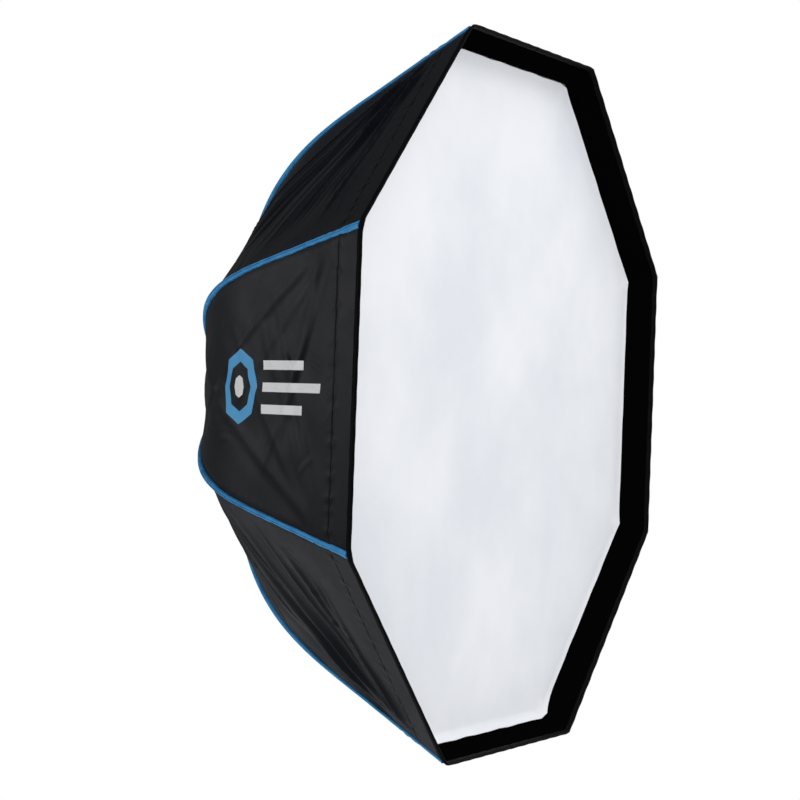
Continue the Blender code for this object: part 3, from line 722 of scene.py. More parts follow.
polyester_tape, tree, shader = new_material("blue_polyester_tape", Roughness=0.6,
                                            Specular_IOR_Level=0.12, Sheen_Weight=0.04,
                                            Sheen_Roughness=0.4)
where = add(tree, "UVMap", uv_map="cloth").outputs["UV"]
fade, tone = mottled(tree, where, 45.0, 4.0, "368bcb", "4ca8e6", 0.3, 0.7)
parts = add(tree, "SeparateXYZ", {"Vector": where})
thread = add(tree, "MixRGB", {"Fac": dashes(tree, parts.outputs["Y"], parts.outputs["X"], 0.0,
                                            0.0007), "Color1": tone,
                              "Color2": colour("1c5f9b")})
tree.links.new(thread.outputs[0], shader.inputs["Base Color"])
grosgrain = add(tree, "TexWave", {"Vector": where, "Scale": wave_scale(RIB_PITCH)},
                bands_direction="Y")
emboss(tree, shader, grosgrain.outputs["Fac"], 0.0001, 0.5)

TAPE_START, TAPE_END = 0.0035, SEAM_END - 0.0050
TAPE_REAR, TAPE_FRONT, TAPE_ON_LIP = 0.0024, 0.0034, 0.0045      # half widths
PROFILE = np.array([-1, -0.96, -0.85, -0.66, -0.46, -0.26, -0.08, 0.04, 0.13, 0.24, 0.40, 0.60,
                    0.80, 0.95, 1])


def roll(middle, reach, height):
    """The round top of one roll of the folded tape, over PROFILE."""
    return height * np.sqrt(np.clip(1 - ((PROFILE - middle) / reach) ** 2, 0, 1))


STITCHED_AT = 0.08                           # the groove between the wide and the narrow roll
ROLLS = np.where(PROFILE < STITCHED_AT, roll(-0.46, 0.56, 0.0013), roll(0.56, 0.46, 0.0011))
EVEN = 0.0007 * (1 - PROFILE**6)             # the tape's top where it lies flat on the lip
TAPE_THICK, TAPE_SUNK = 0.00014139, 0.0017   # its edge sinks into the seam, so no light shows


def tape_sections(k):
    """Sections of the tape over rib k and their UVs, from the hub to the rim."""
    rng = np.random.default_rng(40 + k)
    s = np.arange(TAPE_START, TAPE_END, 0.0022)
    out, side = spoke(rib_angle(k))
    radius, forward, dr, df = seam(s)
    share = s / SEAM_END
    half = TAPE_REAR + (TAPE_FRONT - TAPE_REAR) * np.clip((share - 0.3) / 0.6, 0, 1)
    from_lip = s - LIP_START
    pinch = np.exp(-((from_lip + 0.001) / 0.0035) ** 2)
    flat = 1 / (1 + np.exp(-from_lip / 0.004))                 # flat over the lip
    half = half + (TAPE_ON_LIP - TAPE_FRONT) * flat
    wobble, sway = 0, 0
    for wave in (0.023, 0.041, 0.067, 0.11):
        phases = 6.28 * rng.random(2)
        wobble = wobble + 0.025 * np.cos(2 * math.pi * s / wave + phases[0])
        sway = sway + 0.00012 * np.cos(2 * math.pi * s / wave + phases[1])
    half = half * (1 + wobble) * (1 - 0.20 * pinch)
    twist = np.exp(-((from_lip + 0.024) / 0.012) ** 2)         # the fold before the tuck
    crest = 1 + 1.9 * np.exp(-((s - 0.21) / 0.12) ** 2)        # it stands up where the rib bows
    sign = 1 if k % 2 == 0 else -1                             # the side of the narrow roll
    sections, uv = [], []
    for i in range(len(s)):
        top = (1 - flat[i]) * ROLLS + flat[i] * EVEN + TAPE_THICK
        top = top * (1 - 0.45 * pinch[i])
        top = top * crest[i] + twist[i] * 0.0006 * np.sin(PROFILE * 3 + s[i] * 420)
        slope = math.tan(HALF) * df[i]
        across_tape = sign * PROFILE * half[i] + sway[i]
        ground = -slope * np.sqrt(across_tape**2 + 0.0012**2) + 0.0002
        up_rib = df[i] * out - dr[i] * FORWARD
        base = radius[i] * out + forward[i] * FORWARD
        upper = base + across_tape[:, None] * side + (ground + top)[:, None] * up_rib
        lower = base + across_tape[:, None] * side + (ground - TAPE_SUNK)[:, None] * up_rib
        loop = np.concatenate([upper, lower[::-1][1:-1]])
        sections.append(loop if sign < 0 else loop[::-1])
        coordinate = np.concatenate([across_tape, across_tape[::-1][1:-1]])
        cell = np.stack([coordinate, np.full(len(loop), s[i])], -1)
        uv.append(cell if sign < 0 else cell[::-1])
    return np.array(sections), np.array(uv)


tapes = []
for k in range(1, RIBS + 1):
    sections, uv = tape_sections(k)
    tape = loft(f"tape_{k}", sections, [polyester_tape], uv)
    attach(tape, f"rib_{k}")
    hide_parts(f"seam_tape_{k}")
    tapes.append(tape)
print(len(tapes), "tapes of", len(tapes[0].data.vertices), "points")

# %% [markdown]
# ## The binding round the rim
# The raw edge of the lip is folded into a binding tape 6 mm wide, sewn through once near its inner
# edge. It is made rib by rib like the shell, from the middle of one
# panel to the middle of the next, so that it folds with the lip.

# %% Rim binding
BINDING = np.array([(-0.0064, 0.0001), (-0.0060, 0.0007), (-0.0047, 0.0009), (-0.0040, 0.0003),
                    (-0.0033, 0.0009), (-0.0012, 0.0009), (0.0002, 0.0007), (0.0011, -0.0001),
                    (0.0012, -0.0012), (0.0003, -0.0022), (-0.0020, -0.0024),
                    (-0.0052, -0.0022), (-0.0060, -0.0016), (-0.0061, -0.0006)])

binding_tape, tree, shader = new_material("black_polyester_binding", Roughness=0.6,
                                          Specular_IOR_Level=0.03)
where = add(tree, "UVMap", uv_map="cloth").outputs["UV"]
fade, tone = mottled(tree, where, 90.0, 4.0, "050506", "0c0d0f")
parts = add(tree, "SeparateXYZ", {"Vector": where})
sewn = add(tree, "MixRGB", {"Fac": dashes(tree, parts.outputs["X"], parts.outputs["Y"],
                                          -0.0040, 0.0007),
                            "Color1": tone, "Color2": colour("1a1b1e")})
tree.links.new(sewn.outputs[0], shader.inputs["Base Color"])
ribbing = add(tree, "TexWave", {"Vector": where, "Scale": wave_scale(0.0011)})
emboss(tree, shader, ribbing.outputs["Fac"], 0.0001, 0.6)

bindings = []
for k in range(1, RIBS + 1):
    face, normal = band_grid(k, len(STATIONS) - 2, len(STATIONS) - 1)
    edge_line, edge_normal = face[-1], normal[-1]
    along_seam = face[-1] - face[-2]
    along_seam /= np.linalg.norm(along_seam, axis=1, keepdims=True)
    x = np.concatenate([[0], np.cumsum(np.linalg.norm(np.diff(edge_line, axis=0), axis=1))])
    sections, uv = [], []
    for i in range(len(x)):
        profile = BINDING + np.array([0.00025 * math.sin(x[i] * 190 + k), 0])
        sections.append(edge_line[i] + profile[:, :1] * along_seam[i]
                        + profile[:, 1:] * edge_normal[i])
        uv.append(np.stack([np.full(len(profile), x[i]), BINDING[:, 0]], -1))
    binding = loft(f"rim_binding_{k}", np.array(sections), [binding_tape], np.array(uv))
    fold_to_rib(binding, k)
    bindings.append(binding)
print(len(bindings), "bindings", round(float(x[-1]), 3), "m long")

# %% [markdown]
# ## The front diffuser
# White diffusion nylon is stretched over the whole opening and held on the lip by a hook-and-loop
# edge. It hangs almost flat, with slow waves where the edge pulls unevenly. It is cut here into
# narrow slices like a cake.

# %% Diffusion cloth
diffusion_nylon, tree, shader = new_material("white_diffusion_nylon", Roughness=0.7,
                                             Specular_IOR_Level=0.15)
where = add(tree, "TexCoord").outputs["Object"]
cloud, tone = mottled(tree, where, 4.5, 5.0, "e1e4ea", "eceef3", 0.36, 0.62, Roughness=0.55)
tree.links.new(tone, shader.inputs["Base Color"])
plain_weave = add(tree, "UVMap", uv_map="cloth").outputs["UV"]
tree.links.new(woven(tree, plain_weave, THREAD_SHOWN, 0.00006).outputs["Normal"],
               shader.inputs["Normal"])
print(diffusion_nylon.name)

# %% Outline of the diffuser
SLICES = 24
EDGE_ROOM = 0.0026
CORNER_CUT = 0.0045
DIFFUSER_THICK, HEM_WIDE = 0.0009, 0.0090


def outline(forward, room):
    """Edge radius against the angle from a rib (0 to HALF), inside the shell at this height."""
    s = float(np.interp(forward, seam(dense)[1], dense))
    radius, _, _, df = (float(a) for a in seam(s))
    t = np.linspace(0, radius * SIN, 400)
    slope = math.tan(HALF) * df
    rounded = CORNER_CUT * np.exp(-(t / CORNER_CUT) ** 2)     # the cloth can't fill the corner
    r = radius - (slope * t + CLOTH * math.hypot(1, slope) + rounded) / df - room
    return np.arctan2(t, r), np.hypot(t, r)


edge_angles, edge_radii = outline(DIFFUSER_FORWARD, EDGE_ROOM)


def edge_radius(angle):
    """The diffuser's edge radius at any angle round the axis."""
    wobble = 0.0004 * np.cos(31 * angle) + 0.0003 * np.cos(53 * angle + 1)
    return np.interp(from_rib(angle), edge_angles, edge_radii) + wobble


print("edge radius", round(float(edge_radius(HALF)), 4), round(float(edge_radius(0.0)), 4))


# %% Slices of diffuser
cap_points = np.array([v.co for v in frame["nodes"]["tip_cap_1"].data.vertices])
cap_end = cap_points[cap_points @ FORWARD > np.max(cap_points @ FORWARD) - 0.003]
CAP_CIRCLE = float(np.mean(cap_end @ spoke(rib_angle(1))[0]))
CAP_PRESS, CAP_REACH = 0.0030, 0.010


def caps_press(x, z):
    """The small rise where the cap of each rib presses the cloth from behind."""
    total = 0
    for k in range(1, RIBS + 1):
        (cx, _, cz), _ = spoke(rib_angle(k))
        away = np.hypot(x - CAP_CIRCLE * cx, z - CAP_CIRCLE * cz)
        total = total + CAP_PRESS * np.exp(-(away / CAP_REACH) ** 4)
    return total


def hem_share(angles):
    """The hem stands up fully along the lowest side, and much less along the others."""
    off = np.abs((angles - 1.5 * math.pi + math.pi) % (2 * math.pi) - math.pi)
    ramp = np.clip((HALF + 0.10 - off) / 0.14, 0, 1)
    return 0.25 + 0.75 * ramp * ramp * (3 - 2 * ramp)


def waves(x, z, size):
    """Slow waves of stretched cloth."""
    return size * (np.sin(9.1 * x + 4.3 * z) * np.sin(6.2 * z - 3.1 * x + 1.2)
                   + 0.6 * np.sin(17.0 * x - 11.0 * z + 0.7) + 0.3 * np.sin(37.0 * z + 23.0 * x))


def diffuser_slice(name, start, stop, radius_at, forward, size, columns, rows, hem=(0, 0)):
    """One slice of cloth from the axis to the edge, between two angles. The hem says how far the
    edge turns forwards and outwards over its last HEM_WIDE."""
    angles = np.linspace(start, stop, columns)
    reach = radius_at(angles)
    share = np.concatenate([np.linspace(0, 0.90, rows), [0.93, 0.95, 0.965]])
    turned = np.linspace(0, 1, 7)[:, None]
    stands = hem_share(angles)
    r = np.concatenate([share[:, None] * reach,
                        reach - HEM_WIDE + turned * (HEM_WIDE + hem[1] * stands)])
    x, z = r * np.cos(angles), r * np.sin(angles)
    fade = np.clip((1 - r / reach) / 0.12, 0, 1)
    curl = np.concatenate([0 * share[:, None], turned**2]) * hem[0] * stands
    lift = forward + waves(x, z, size) * fade + curl + (caps_press(x, z) if hem[0] else 0)
    face = np.stack([x, -lift, z], -1)
    down, over = np.gradient(face, axis=0), np.gradient(face, axis=1)
    normal = np.tile((0.0, -1.0, 0.0), (*x.shape, 1))
    tilt = np.cross(over[1:], down[1:])
    size_of = np.maximum(np.linalg.norm(tilt, axis=-1, keepdims=True), 1e-12)
    tilt = tilt / size_of * np.where((tilt @ np.array((0, -1, 0)))[..., None] < 0, -1, 1)
    normal[1:] = tilt
    cells = np.zeros((x.shape[0] - 1, columns - 1), int)
    uv = np.stack([x, z], -1)
    face, normal, uv = face[:, ::-1], normal[:, ::-1], uv[:, ::-1]
    piece = sheet_mesh(name, face, face - DIFFUSER_THICK * normal, normal, [diffusion_nylon],
                       (cells, cells), (uv[:, :-1], uv[:, 1:]))
    bm = bmesh.new()
    bm.from_mesh(piece.data)
    bmesh.ops.remove_doubles(bm, verts=bm.verts, dist=1e-6)
    bm.to_mesh(piece.data)
    bm.free()
    return piece


def draw_in(piece):
    """Give a slice a mesh of its own."""
    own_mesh(piece)


for i in range(SLICES):
    step = 2 * math.pi / SLICES
    start = i * step
    piece = diffuser_slice(f"front_diffuser_{i + 1}", start, start + step, edge_radius,
                           DIFFUSER_FORWARD + 0.0002, 0.0011, 9, 28, hem=(0.0080, 0.0036))
    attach(piece, "front_diffuser")
    draw_in(piece)
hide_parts("front_diffuser")

# %% [markdown]
# ## The inner diffuser
# A second, smaller sheet of the same cloth hangs half-way down the shell and softens the middle of
# the light. Its corners end beside the ribs, and its sides hang in a little between them. It is
# made of slices in the same way.

# %% Inner diffuser
INNER_AT = -sum(c.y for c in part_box("inner_diffuser")) / 2
INNER_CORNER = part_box("inner_diffuser")[1].x / COS
INNER_SLICES = 16


def inner_radius(angle):
    """An octagon whose sides hang in a little between its corners."""
    beside = from_rib(angle)
    straight = INNER_CORNER * COS / np.cos(HALF - beside)
    return straight * (1 - 0.02 * np.sin(math.pi * beside / STEP) ** 2)


for i in range(INNER_SLICES):
    step = 2 * math.pi / INNER_SLICES
    piece = diffuser_slice(f"inner_diffuser_{i + 1}", i * step, (i + 1) * step, inner_radius,
                           INNER_AT, 0.0015, 9, 14)
    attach(piece, "inner_diffuser")
    draw_in(piece)
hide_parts("inner_diffuser")

# %% [markdown]
# ## The gathered collar
# Where the shell meets the hub, its hem is drawn in over the hub's edge by a drawn thread, so the
# cloth stands in small pleats. A ring of cross-sections makes it: an octagon outside, where it
# meets the panels, and a circle inside, with pleats that grow towards the circle.

# %% Rear collar
HUB_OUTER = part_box("hub_ring")[1].x
HUB_FRONT = -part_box("rear_collar")[1].y      # the collar's rear edge, forward of the seat
PLEATS, COLLAR_STEPS = 72, 576
START_RADIUS, START_FORWARD = (float(a) for a in seam(0.0)[:2])


def collar_ring():
    """Sections of the collar all the way round, and their UVs."""
    angle = np.linspace(0, 2 * math.pi, COLLAR_STEPS, endpoint=False)
    octagon = START_RADIUS * COS / np.cos(HALF - from_rib(angle)) - 0.0004
    inner = HUB_OUTER + 0.0012
    shape = [(0.00, 0.0012, 0.0), (0.10, -0.0010, 0.15), (0.30, -0.0040, 0.5), (0.55, -0.0068, 0.8),
             (0.80, -0.0082, 1.0), (1.00, -0.0078, 1.0), (1.00, -0.0058, 1.0), (0.80, -0.0062, 1.0),
             (0.55, -0.0048, 0.8), (0.32, -0.0020, 0.5), (0.16, 0.0008, 0.1), (0.06, 0.0026, 0.0)]
    sections, uv = [], []
    for i in range(COLLAR_STEPS):
        out, _ = spoke(angle[i])
        pleat = 0.0007 * math.sin(PLEATS * angle[i]) + 0.0004 * math.sin(31 * angle[i] + 1.3)
        ring, row = [], []
        for share, rise, gather in shape:
            r = octagon[i] + (inner - octagon[i]) * share
            f = START_FORWARD + rise + pleat * gather
            ring.append((r + 0.3 * pleat * gather) * out + f * FORWARD)
            row.append((angle[i] * 0.11, share * 0.02))
        sections.append(ring)
        uv.append(row)
    return np.array(sections), np.array(uv)


sections, uv = collar_ring()
number = np.arange(sections.shape[0] * sections.shape[1]).reshape(sections.shape[:2])
closed = np.pad(number, ((0, 1), (0, 1)), mode="wrap")
collar = new_piece("collar", sections.reshape(-1, 3), quads(closed).tolist(), [coated_nylon])
grid = np.concatenate([uv, uv[:1] + np.array((0.6912, 0))], 0)
grid = np.concatenate([grid, grid[:, :1]], axis=1)
cells = np.stack([grid[:-1, :-1], grid[:-1, 1:], grid[1:, 1:], grid[1:, :-1]], 2)
collar.data.uv_layers.new(name="cloth").data.foreach_set("uv", cells.astype(np.float32).ravel())
bpy.ops.object.select_all(action="DESELECT")
bpy.context.view_layer.objects.active = collar
collar.select_set(True)
bpy.ops.object.mode_set(mode="EDIT")
bpy.ops.mesh.select_all(action="SELECT")
bpy.ops.mesh.normals_make_consistent(inside=False)
bpy.ops.object.mode_set(mode="OBJECT")
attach(collar, "hub")
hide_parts("rear_collar")
print("collar of", len(collar.data.polygons), "faces")

# %% [markdown]
# ## Metals and mouldings
# The frame is a mix of three finishes. The mount ring and the struts are die-cast and machined
# aluminium, with fine turning marks. The ribs and the guide posts are drawn steel, smooth and
# bright, with faint lines along them. The hub, the runner and the rib caps are black nylon filled
# with glass fibre, whose moulded face has a fine matt grain.

# %% Aluminium, steel and moulded nylon
TURNING = 0.0012                             # turning marks, drawn coarser than the real 0.1 mm
GRAIN = 0.0009                               # moulded grain, drawn coarser than the real 0.2 mm


def metal(name, dark, light, pattern, depth):
    """A metal whose fine marks follow a wave pattern given by its settings."""
    made, tree, shader = new_material(name, Metallic=1.0)
    where = add(tree, "TexCoord").outputs["Object"]
    cast, tone = mottled(tree, where, 70.0, 5.0, dark, light)
    tree.links.new(tone, shader.inputs["Base Color"])
    marks = add(tree, "TexWave", {"Vector": where, "Scale": wave_scale(TURNING),
                                  "Distortion": 0.6, "Detail": 2.0}, **pattern)
    both = add(tree, "Math", {0: marks.outputs["Fac"], 1: 0.15, 2: cast},
               operation="MULTIPLY_ADD")
    roughen(tree, shader, both.outputs[0], 0.26, 0.46)
    emboss(tree, shader, marks.outputs["Fac"], depth)
    return made


turned_aluminium = metal("turned_cast_aluminium", "b4b6b9", "cfd1d3",
                         {"wave_type": "RINGS", "rings_direction": "Y"}, 0.00004)
pressed_aluminium = metal("pressed_aluminium", "a2a5a9", "bfc2c5",
                          {"wave_type": "BANDS", "bands_direction": "DIAGONAL"}, 0.00003)
drawn_steel = metal("drawn_spring_steel", "85878b", "a9abaf",
                    {"wave_type": "RINGS", "rings_direction": "SPHERICAL"}, 0.00002)

glass_nylon, tree, shader = new_material("moulded_glass_filled_nylon", Specular_IOR_Level=0.4)
where = add(tree, "TexCoord").outputs["Object"]
flow, tone = mottled(tree, where, 35.0, 4.0, "17181a", "232427")
tree.links.new(tone, shader.inputs["Base Color"])
roughen(tree, shader, flow, 0.42, 0.62)
grain = add(tree, "TexVoronoi", {"Vector": where, "Scale": 1 / GRAIN})
emboss(tree, shader, grain.outputs["Distance"], 0.00008, 0.6)

FINISH = {"hub_ring": glass_nylon, "runner_ring": glass_nylon, "latch_housing": glass_nylon,
          "latch_button": glass_nylon, "guide_cage": drawn_steel, "latch_spring": drawn_steel,
          "retaining_ring": turned_aluminium}
for k in range(1, RIBS + 1):
    FINISH[f"rib_{k}"], FINISH[f"tip_cap_{k}"] = drawn_steel, glass_nylon
    FINISH[f"strut_{k}"] = pressed_aluminium
for name, finish in FINISH.items():
    for holder in frame["nodes"][name].material_slots:
        holder.material = finish
print(len(FINISH), "CAD parts finished")

# %% [markdown]
# ## The mount ring
# The ring that the light grips is turned from a casting: a flange that seats on the light, a neck
# that the hub turns on, and three hooked lugs. Its section is drawn flat, its corners are broken
# with a bevel, and it is spun round the axis. The lugs are bevelled blocks, made once and copied.

# %% Helpers for modelling by hand
def fresh():
    """Leave edit mode with nothing selected."""
    if bpy.context.object and bpy.context.object.mode != "OBJECT":
        bpy.ops.object.mode_set(mode="OBJECT")
    bpy.ops.object.select_all(action="DESELECT")


def begin():
    """Apply the new primitive's place and go into edit mode with all of it selected."""
    piece = bpy.context.object
    bpy.ops.object.transform_apply(location=True, rotation=True, scale=True)
    bpy.ops.object.mode_set(mode="EDIT")
    bpy.ops.mesh.select_all(action="SELECT")
    return piece


def choose(test, kind="VERT"):
    """In edit mode, select the vertices, edges or faces whose middle passes the test."""
    mesh = bmesh.from_edit_mesh(bpy.context.object.data)
    for part in [*mesh.verts, *mesh.edges, *mesh.faces]:
        part.select = False
    mesh.select_mode = {kind}
    parts = {"VERT": mesh.verts, "EDGE": mesh.edges, "FACE": mesh.faces}[kind]
    count = 0
    for part in parts:
        middle = part.co if kind == "VERT" else (
            sum((v.co for v in part.verts), Vector()) / len(part.verts))
        if test(middle):
            part.select_set(True)
            count += 1
    mesh.select_flush_mode()
    bmesh.update_edit_mesh(bpy.context.object.data)
    return count


def settle(piece, name, material, body, slot, *replaced):
    """Put a hand-modelled piece's place into its mesh, and name, finish and attach it."""
    fresh()
    piece.name = piece.data.name = name
    bpy.context.view_layer.objects.active = piece
    piece.select_set(True)
    bpy.ops.object.transform_apply(location=True, rotation=True, scale=True)
    bpy.ops.object.shade_smooth_by_angle(angle=math.radians(35))
    face_outwards(piece.data)
    piece.data.materials.clear()
    piece.data.materials.append(material)
    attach(piece, body)
    if replaced:
        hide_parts(*replaced)
    return piece


def tidy_skin():
    """In edit mode, merge doubled points and turn the faces outwards."""
    bpy.ops.mesh.select_all(action="SELECT")
    bpy.ops.mesh.remove_doubles(threshold=1e-5)
    bpy.ops.mesh.normals_make_consistent(inside=False)


# %% Turn the mount ring
BORE, FLANGE, NECK = 0.0600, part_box("bayonet_ring")[1].x, 0.0715
FLANGE_DEEP, NECK_DEEP = 0.0040, -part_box("bayonet_ring")[0].y
LUG_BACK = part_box("bayonet_ring")[1].y

fresh()
bpy.ops.mesh.primitive_plane_add(size=1, location=((BORE + FLANGE) / 2, -FLANGE_DEEP / 2, 0))
bpy.context.object.scale = (FLANGE - BORE, FLANGE_DEEP, 1)
ring = begin()
bpy.ops.mesh.bisect(plane_co=(NECK, 0, 0), plane_no=(1, 0, 0))
choose(lambda p: p.x < NECK - 1e-4 and abs(p.y + FLANGE_DEEP) < 1e-5, "EDGE")
bpy.ops.mesh.extrude_region_move(
    TRANSFORM_OT_translate={"value": (0, FLANGE_DEEP - NECK_DEEP, 0)})
bpy.ops.mesh.select_all(action="SELECT")
bpy.ops.mesh.dissolve_faces()                # one outline, so no wall is left inside the ring
bpy.ops.mesh.bevel(offset=0.0005, affect="VERTICES", segments=2)
bpy.ops.mesh.select_all(action="SELECT")
bpy.ops.mesh.delete(type="ONLY_FACE")
bpy.ops.mesh.select_all(action="SELECT")
bpy.ops.mesh.spin(steps=128, angle=2 * math.pi, center=(0, 0, 0), axis=(0, 1, 0))
tidy_skin()
fresh()
settle(ring, "mount_ring", turned_aluminium, "light_ring", "cast_aluminium", "bayonet_ring")
print("mount ring", [round(v, 4) for v in ring.dimensions], len(ring.data.polygons), "faces")

# %% Cut one lug and copy it
def copied_round(piece, name, angles, body):
    """Copies of a piece, each with its own mesh, turned about the optical axis."""
    made = []
    for i, angle in enumerate(angles):
        mesh = piece.data.copy()
        mesh.transform(Matrix.Rotation(angle, 4, (0, -1, 0)))
        copy = bpy.data.objects.new(f"{name}_{i + 1}", mesh)
        bpy.context.scene.collection.objects.link(copy)
        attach(copy, body)
        made.append(copy)
    bpy.data.objects.remove(piece)
    return made


LUG_MIDDLE, LUG_THICK, LUG_WIDE = 0.0619, 0.0032, 0.020
LUG_ROOT, HOOK_DEEP = 0.002, 0.003           # how far a lug reaches into the ring, and its hook
fresh()
bpy.ops.mesh.primitive_cube_add(size=1, location=(LUG_MIDDLE, (LUG_BACK - LUG_ROOT) / 2, 0))
bpy.context.object.scale = (LUG_THICK, LUG_BACK + LUG_ROOT, LUG_WIDE)
lug = begin()
bpy.ops.mesh.bisect(plane_co=(0, LUG_BACK - HOOK_DEEP, 0), plane_no=(0, 1, 0))
choose(lambda p: p.x > LUG_MIDDLE + LUG_THICK / 2 - 1e-4 and p.y > LUG_BACK - HOOK_DEEP, "FACE")
bpy.ops.mesh.extrude_region_move(TRANSFORM_OT_translate={"value": (0.0024, 0, 0)})
bpy.ops.mesh.select_all(action="SELECT")
bpy.ops.mesh.bevel(offset=0.0004, segments=2, affect="EDGES")
tidy_skin()
fresh()
lug.data.materials.append(turned_aluminium)
lugs = copied_round(lug, "mount_lug", [math.pi / 2 + i * 2 * math.pi / 3 for i in range(3)],
                    "light_ring")
print(len(lugs), "lugs,", len(lugs[0].data.polygons), "faces each")

# %% [markdown]
# ## Screws and the clamp knob
# Socket screws hold the hub together from behind. One is modelled: a cylinder whose end is inset
# once and pushed in for the socket, with its rim bevelled. The clamp knob is a
# thumbscrew, a cylinder with scallops for the fingers, a dished end and a steel shank.

# %% Hub screws
HUB_REAR = -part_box("hub_ring")[1].y
SCREW_CIRCLE, SCREW_RADIUS, SCREW_DEEP, SCREW_PROUD = 0.0840, 0.0027, 0.0030, 0.0004
SCREW_FACE = -HUB_REAR + SCREW_PROUD + SCREW_DEEP / 2
fresh()
bpy.ops.mesh.primitive_cylinder_add(vertices=24, radius=SCREW_RADIUS, depth=SCREW_DEEP,
                                    location=(SCREW_CIRCLE, -HUB_REAR + SCREW_PROUD, 0),
                                    rotation=(-math.pi / 2, 0, 0))
screw = begin()
choose(lambda p: p.y > SCREW_FACE - 1e-5, "FACE")
bpy.ops.mesh.bevel(offset=0.0003, segments=2, affect="EDGES")
choose(lambda p: p.y > SCREW_FACE - 1e-5 and abs(p.x - SCREW_CIRCLE) < 1e-4, "FACE")
bpy.ops.mesh.inset(thickness=0.0010)
bpy.ops.mesh.extrude_region_move(TRANSFORM_OT_translate={"value": (0, -0.0011, 0)})
tidy_skin()
fresh()
screw.data.materials.append(drawn_steel)
screws = copied_round(screw, "hub_screw", [STEP * i for i in range(RIBS)], "hub")
print(len(screws), "screws")

# %% Clamp knob
KNOB_LOW, KNOB_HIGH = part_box("clamp_knob")
KNOB_RADIUS, KNOB_AT = KNOB_HIGH.x, (KNOB_LOW.y + KNOB_HIGH.y) / 2
HEAD = 0.0120
fresh()
bpy.ops.mesh.primitive_cylinder_add(vertices=72, radius=KNOB_RADIUS, depth=HEAD,
                                    location=(0, KNOB_AT, KNOB_LOW.z + HEAD / 2))
knob = begin()
scallops = choose(lambda p: (math.atan2(p.x, p.y - KNOB_AT) * 8 / (2 * math.pi)) % 1 < 0.44
                  and math.hypot(p.x, p.y - KNOB_AT) > KNOB_RADIUS * 0.9)
bpy.ops.transform.resize(value=(0.86, 0.86, 1), center_override=(0, KNOB_AT, 0))
choose(lambda p: p.z < KNOB_LOW.z + 1e-5, "FACE")
bpy.ops.mesh.bevel(offset=0.0008, segments=3, affect="EDGES")
choose(lambda p: p.z < KNOB_LOW.z + 1e-5, "FACE")
bpy.ops.mesh.inset(thickness=0.0014)
bpy.ops.mesh.extrude_region_move(TRANSFORM_OT_translate={"value": (0, 0, 0.0008)})
tidy_skin()
fresh()
settle(knob, "clamp_knob_head", glass_nylon, "clamp_knob", "moulded_nylon", "clamp_knob")
fresh()
NECK_LOW = KNOB_LOW.z + HEAD
bpy.ops.mesh.primitive_cylinder_add(vertices=24, radius=0.0019, depth=KNOB_HIGH.z - NECK_LOW,
                                    location=(0, KNOB_AT, (KNOB_HIGH.z + NECK_LOW) / 2))
shank = begin()
choose(lambda p: abs(p.z - KNOB_HIGH.z) < 1e-5, "FACE")
bpy.ops.mesh.bevel(offset=0.0005, segments=2, affect="EDGES")
tidy_skin()
settle(shank, "clamp_knob_shank", drawn_steel, "clamp_knob", "moulded_nylon")
print("knob with", scallops, "scalloped points")

# %% [markdown]
# ## Floor and light
# The floor is plain and pale, a metre under the softbox, because the softbox hangs on its light
# and stand. The room looks white from everywhere, but only its front half gives light, so that
# the black cloth stays black. Large soft lights behind it, on the shell's side, rake along the
# cloth and bring up its folds, and leave the white front even.

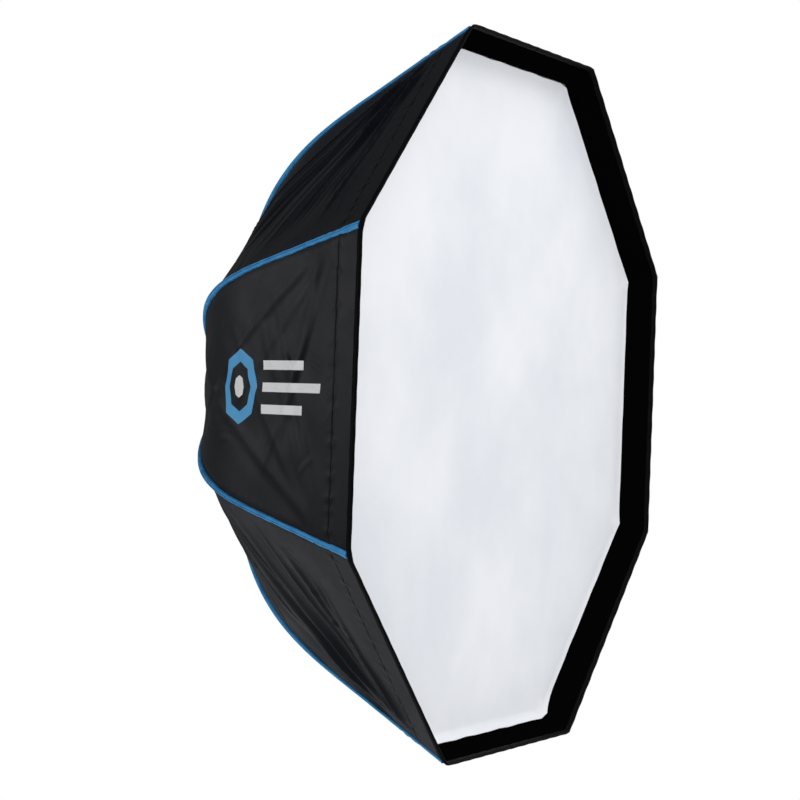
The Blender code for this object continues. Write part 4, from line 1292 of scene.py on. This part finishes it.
# %% Floor
FLOOR_DROP, FLOOR_SIZE = 1.05, 6.4
bpy.ops.object.select_all(action="DESELECT")
bpy.ops.mesh.primitive_plane_add(size=FLOOR_SIZE, location=(0, 0, cad_low.z - FLOOR_DROP))
floor = bpy.context.object
floor.name = "studio_floor"
bpy.ops.object.mode_set(mode="EDIT")
bpy.ops.mesh.subdivide(number_cuts=3)
bpy.ops.object.mode_set(mode="OBJECT")
vinyl, tree, shader = new_material("matt_white_vinyl", Roughness=0.7)
where = add(tree, "TexCoord").outputs["Object"]
scuffs, tone = mottled(tree, where, 3.0, 4.0, "f2f2f2", "f7f7f7")
tree.links.new(tone, shader.inputs["Base Color"])
floor.data.materials.append(vinyl)

# %% Light
ROOM_DIM = 0.13                              # light from the end of the room behind the softbox

world = bpy.data.worlds.new("white room")
bpy.context.scene.world = world
world.use_nodes = True
tree = world.node_tree
toward = add(tree, "TexCoord").outputs["Generated"]
front = add(tree, "SeparateXYZ", {"Vector": toward})
lit_front = add(tree, "MapRange", {"Value": front.outputs["Y"], "From Min": 0.25,
                                   "From Max": -0.35}, interpolation_type="SMOOTHSTEP")
lit = add(tree, "Math", {0: add(tree, "LightPath").outputs["Is Camera Ray"],
                         1: lit_front.outputs["Result"]}, operation="MAXIMUM")
room = add(tree, "MapRange", {"Value": lit.outputs[0], "To Min": ROOM_DIM})
tree.nodes["Background"].inputs["Color"].default_value = (1, 1, 1, 1)
tree.links.new(room.outputs["Result"], tree.nodes["Background"].inputs["Strength"])
bpy.context.scene.view_settings.view_transform = "Standard"


def soft_light(name, place, target, size, watts):
    """A square soft light at place, turned towards target."""
    lamp = bpy.data.lights.new(name, "AREA")
    lamp.shape, lamp.size, lamp.energy = "SQUARE", size, watts
    holder = bpy.data.objects.new(name, lamp)
    bpy.context.scene.collection.objects.link(holder)
    turned = (Vector(target) - Vector(place)).to_track_quat("-Z", "Y").to_matrix().to_4x4()
    holder.matrix_world = Matrix.Translation(place) @ turned


soft_light("soft_light_behind", (-0.75, 2.6, 0.25), (0, -0.2, 0), 0.8, 11)
soft_light("soft_light_side", (-2.6, 0.6, -1.0), (0, -0.2, 0), 1.0, 5)
soft_light("soft_light_front", (-0.6, -2.4, 2.4), (0, -0.4, 0.4), 1.2, 21)
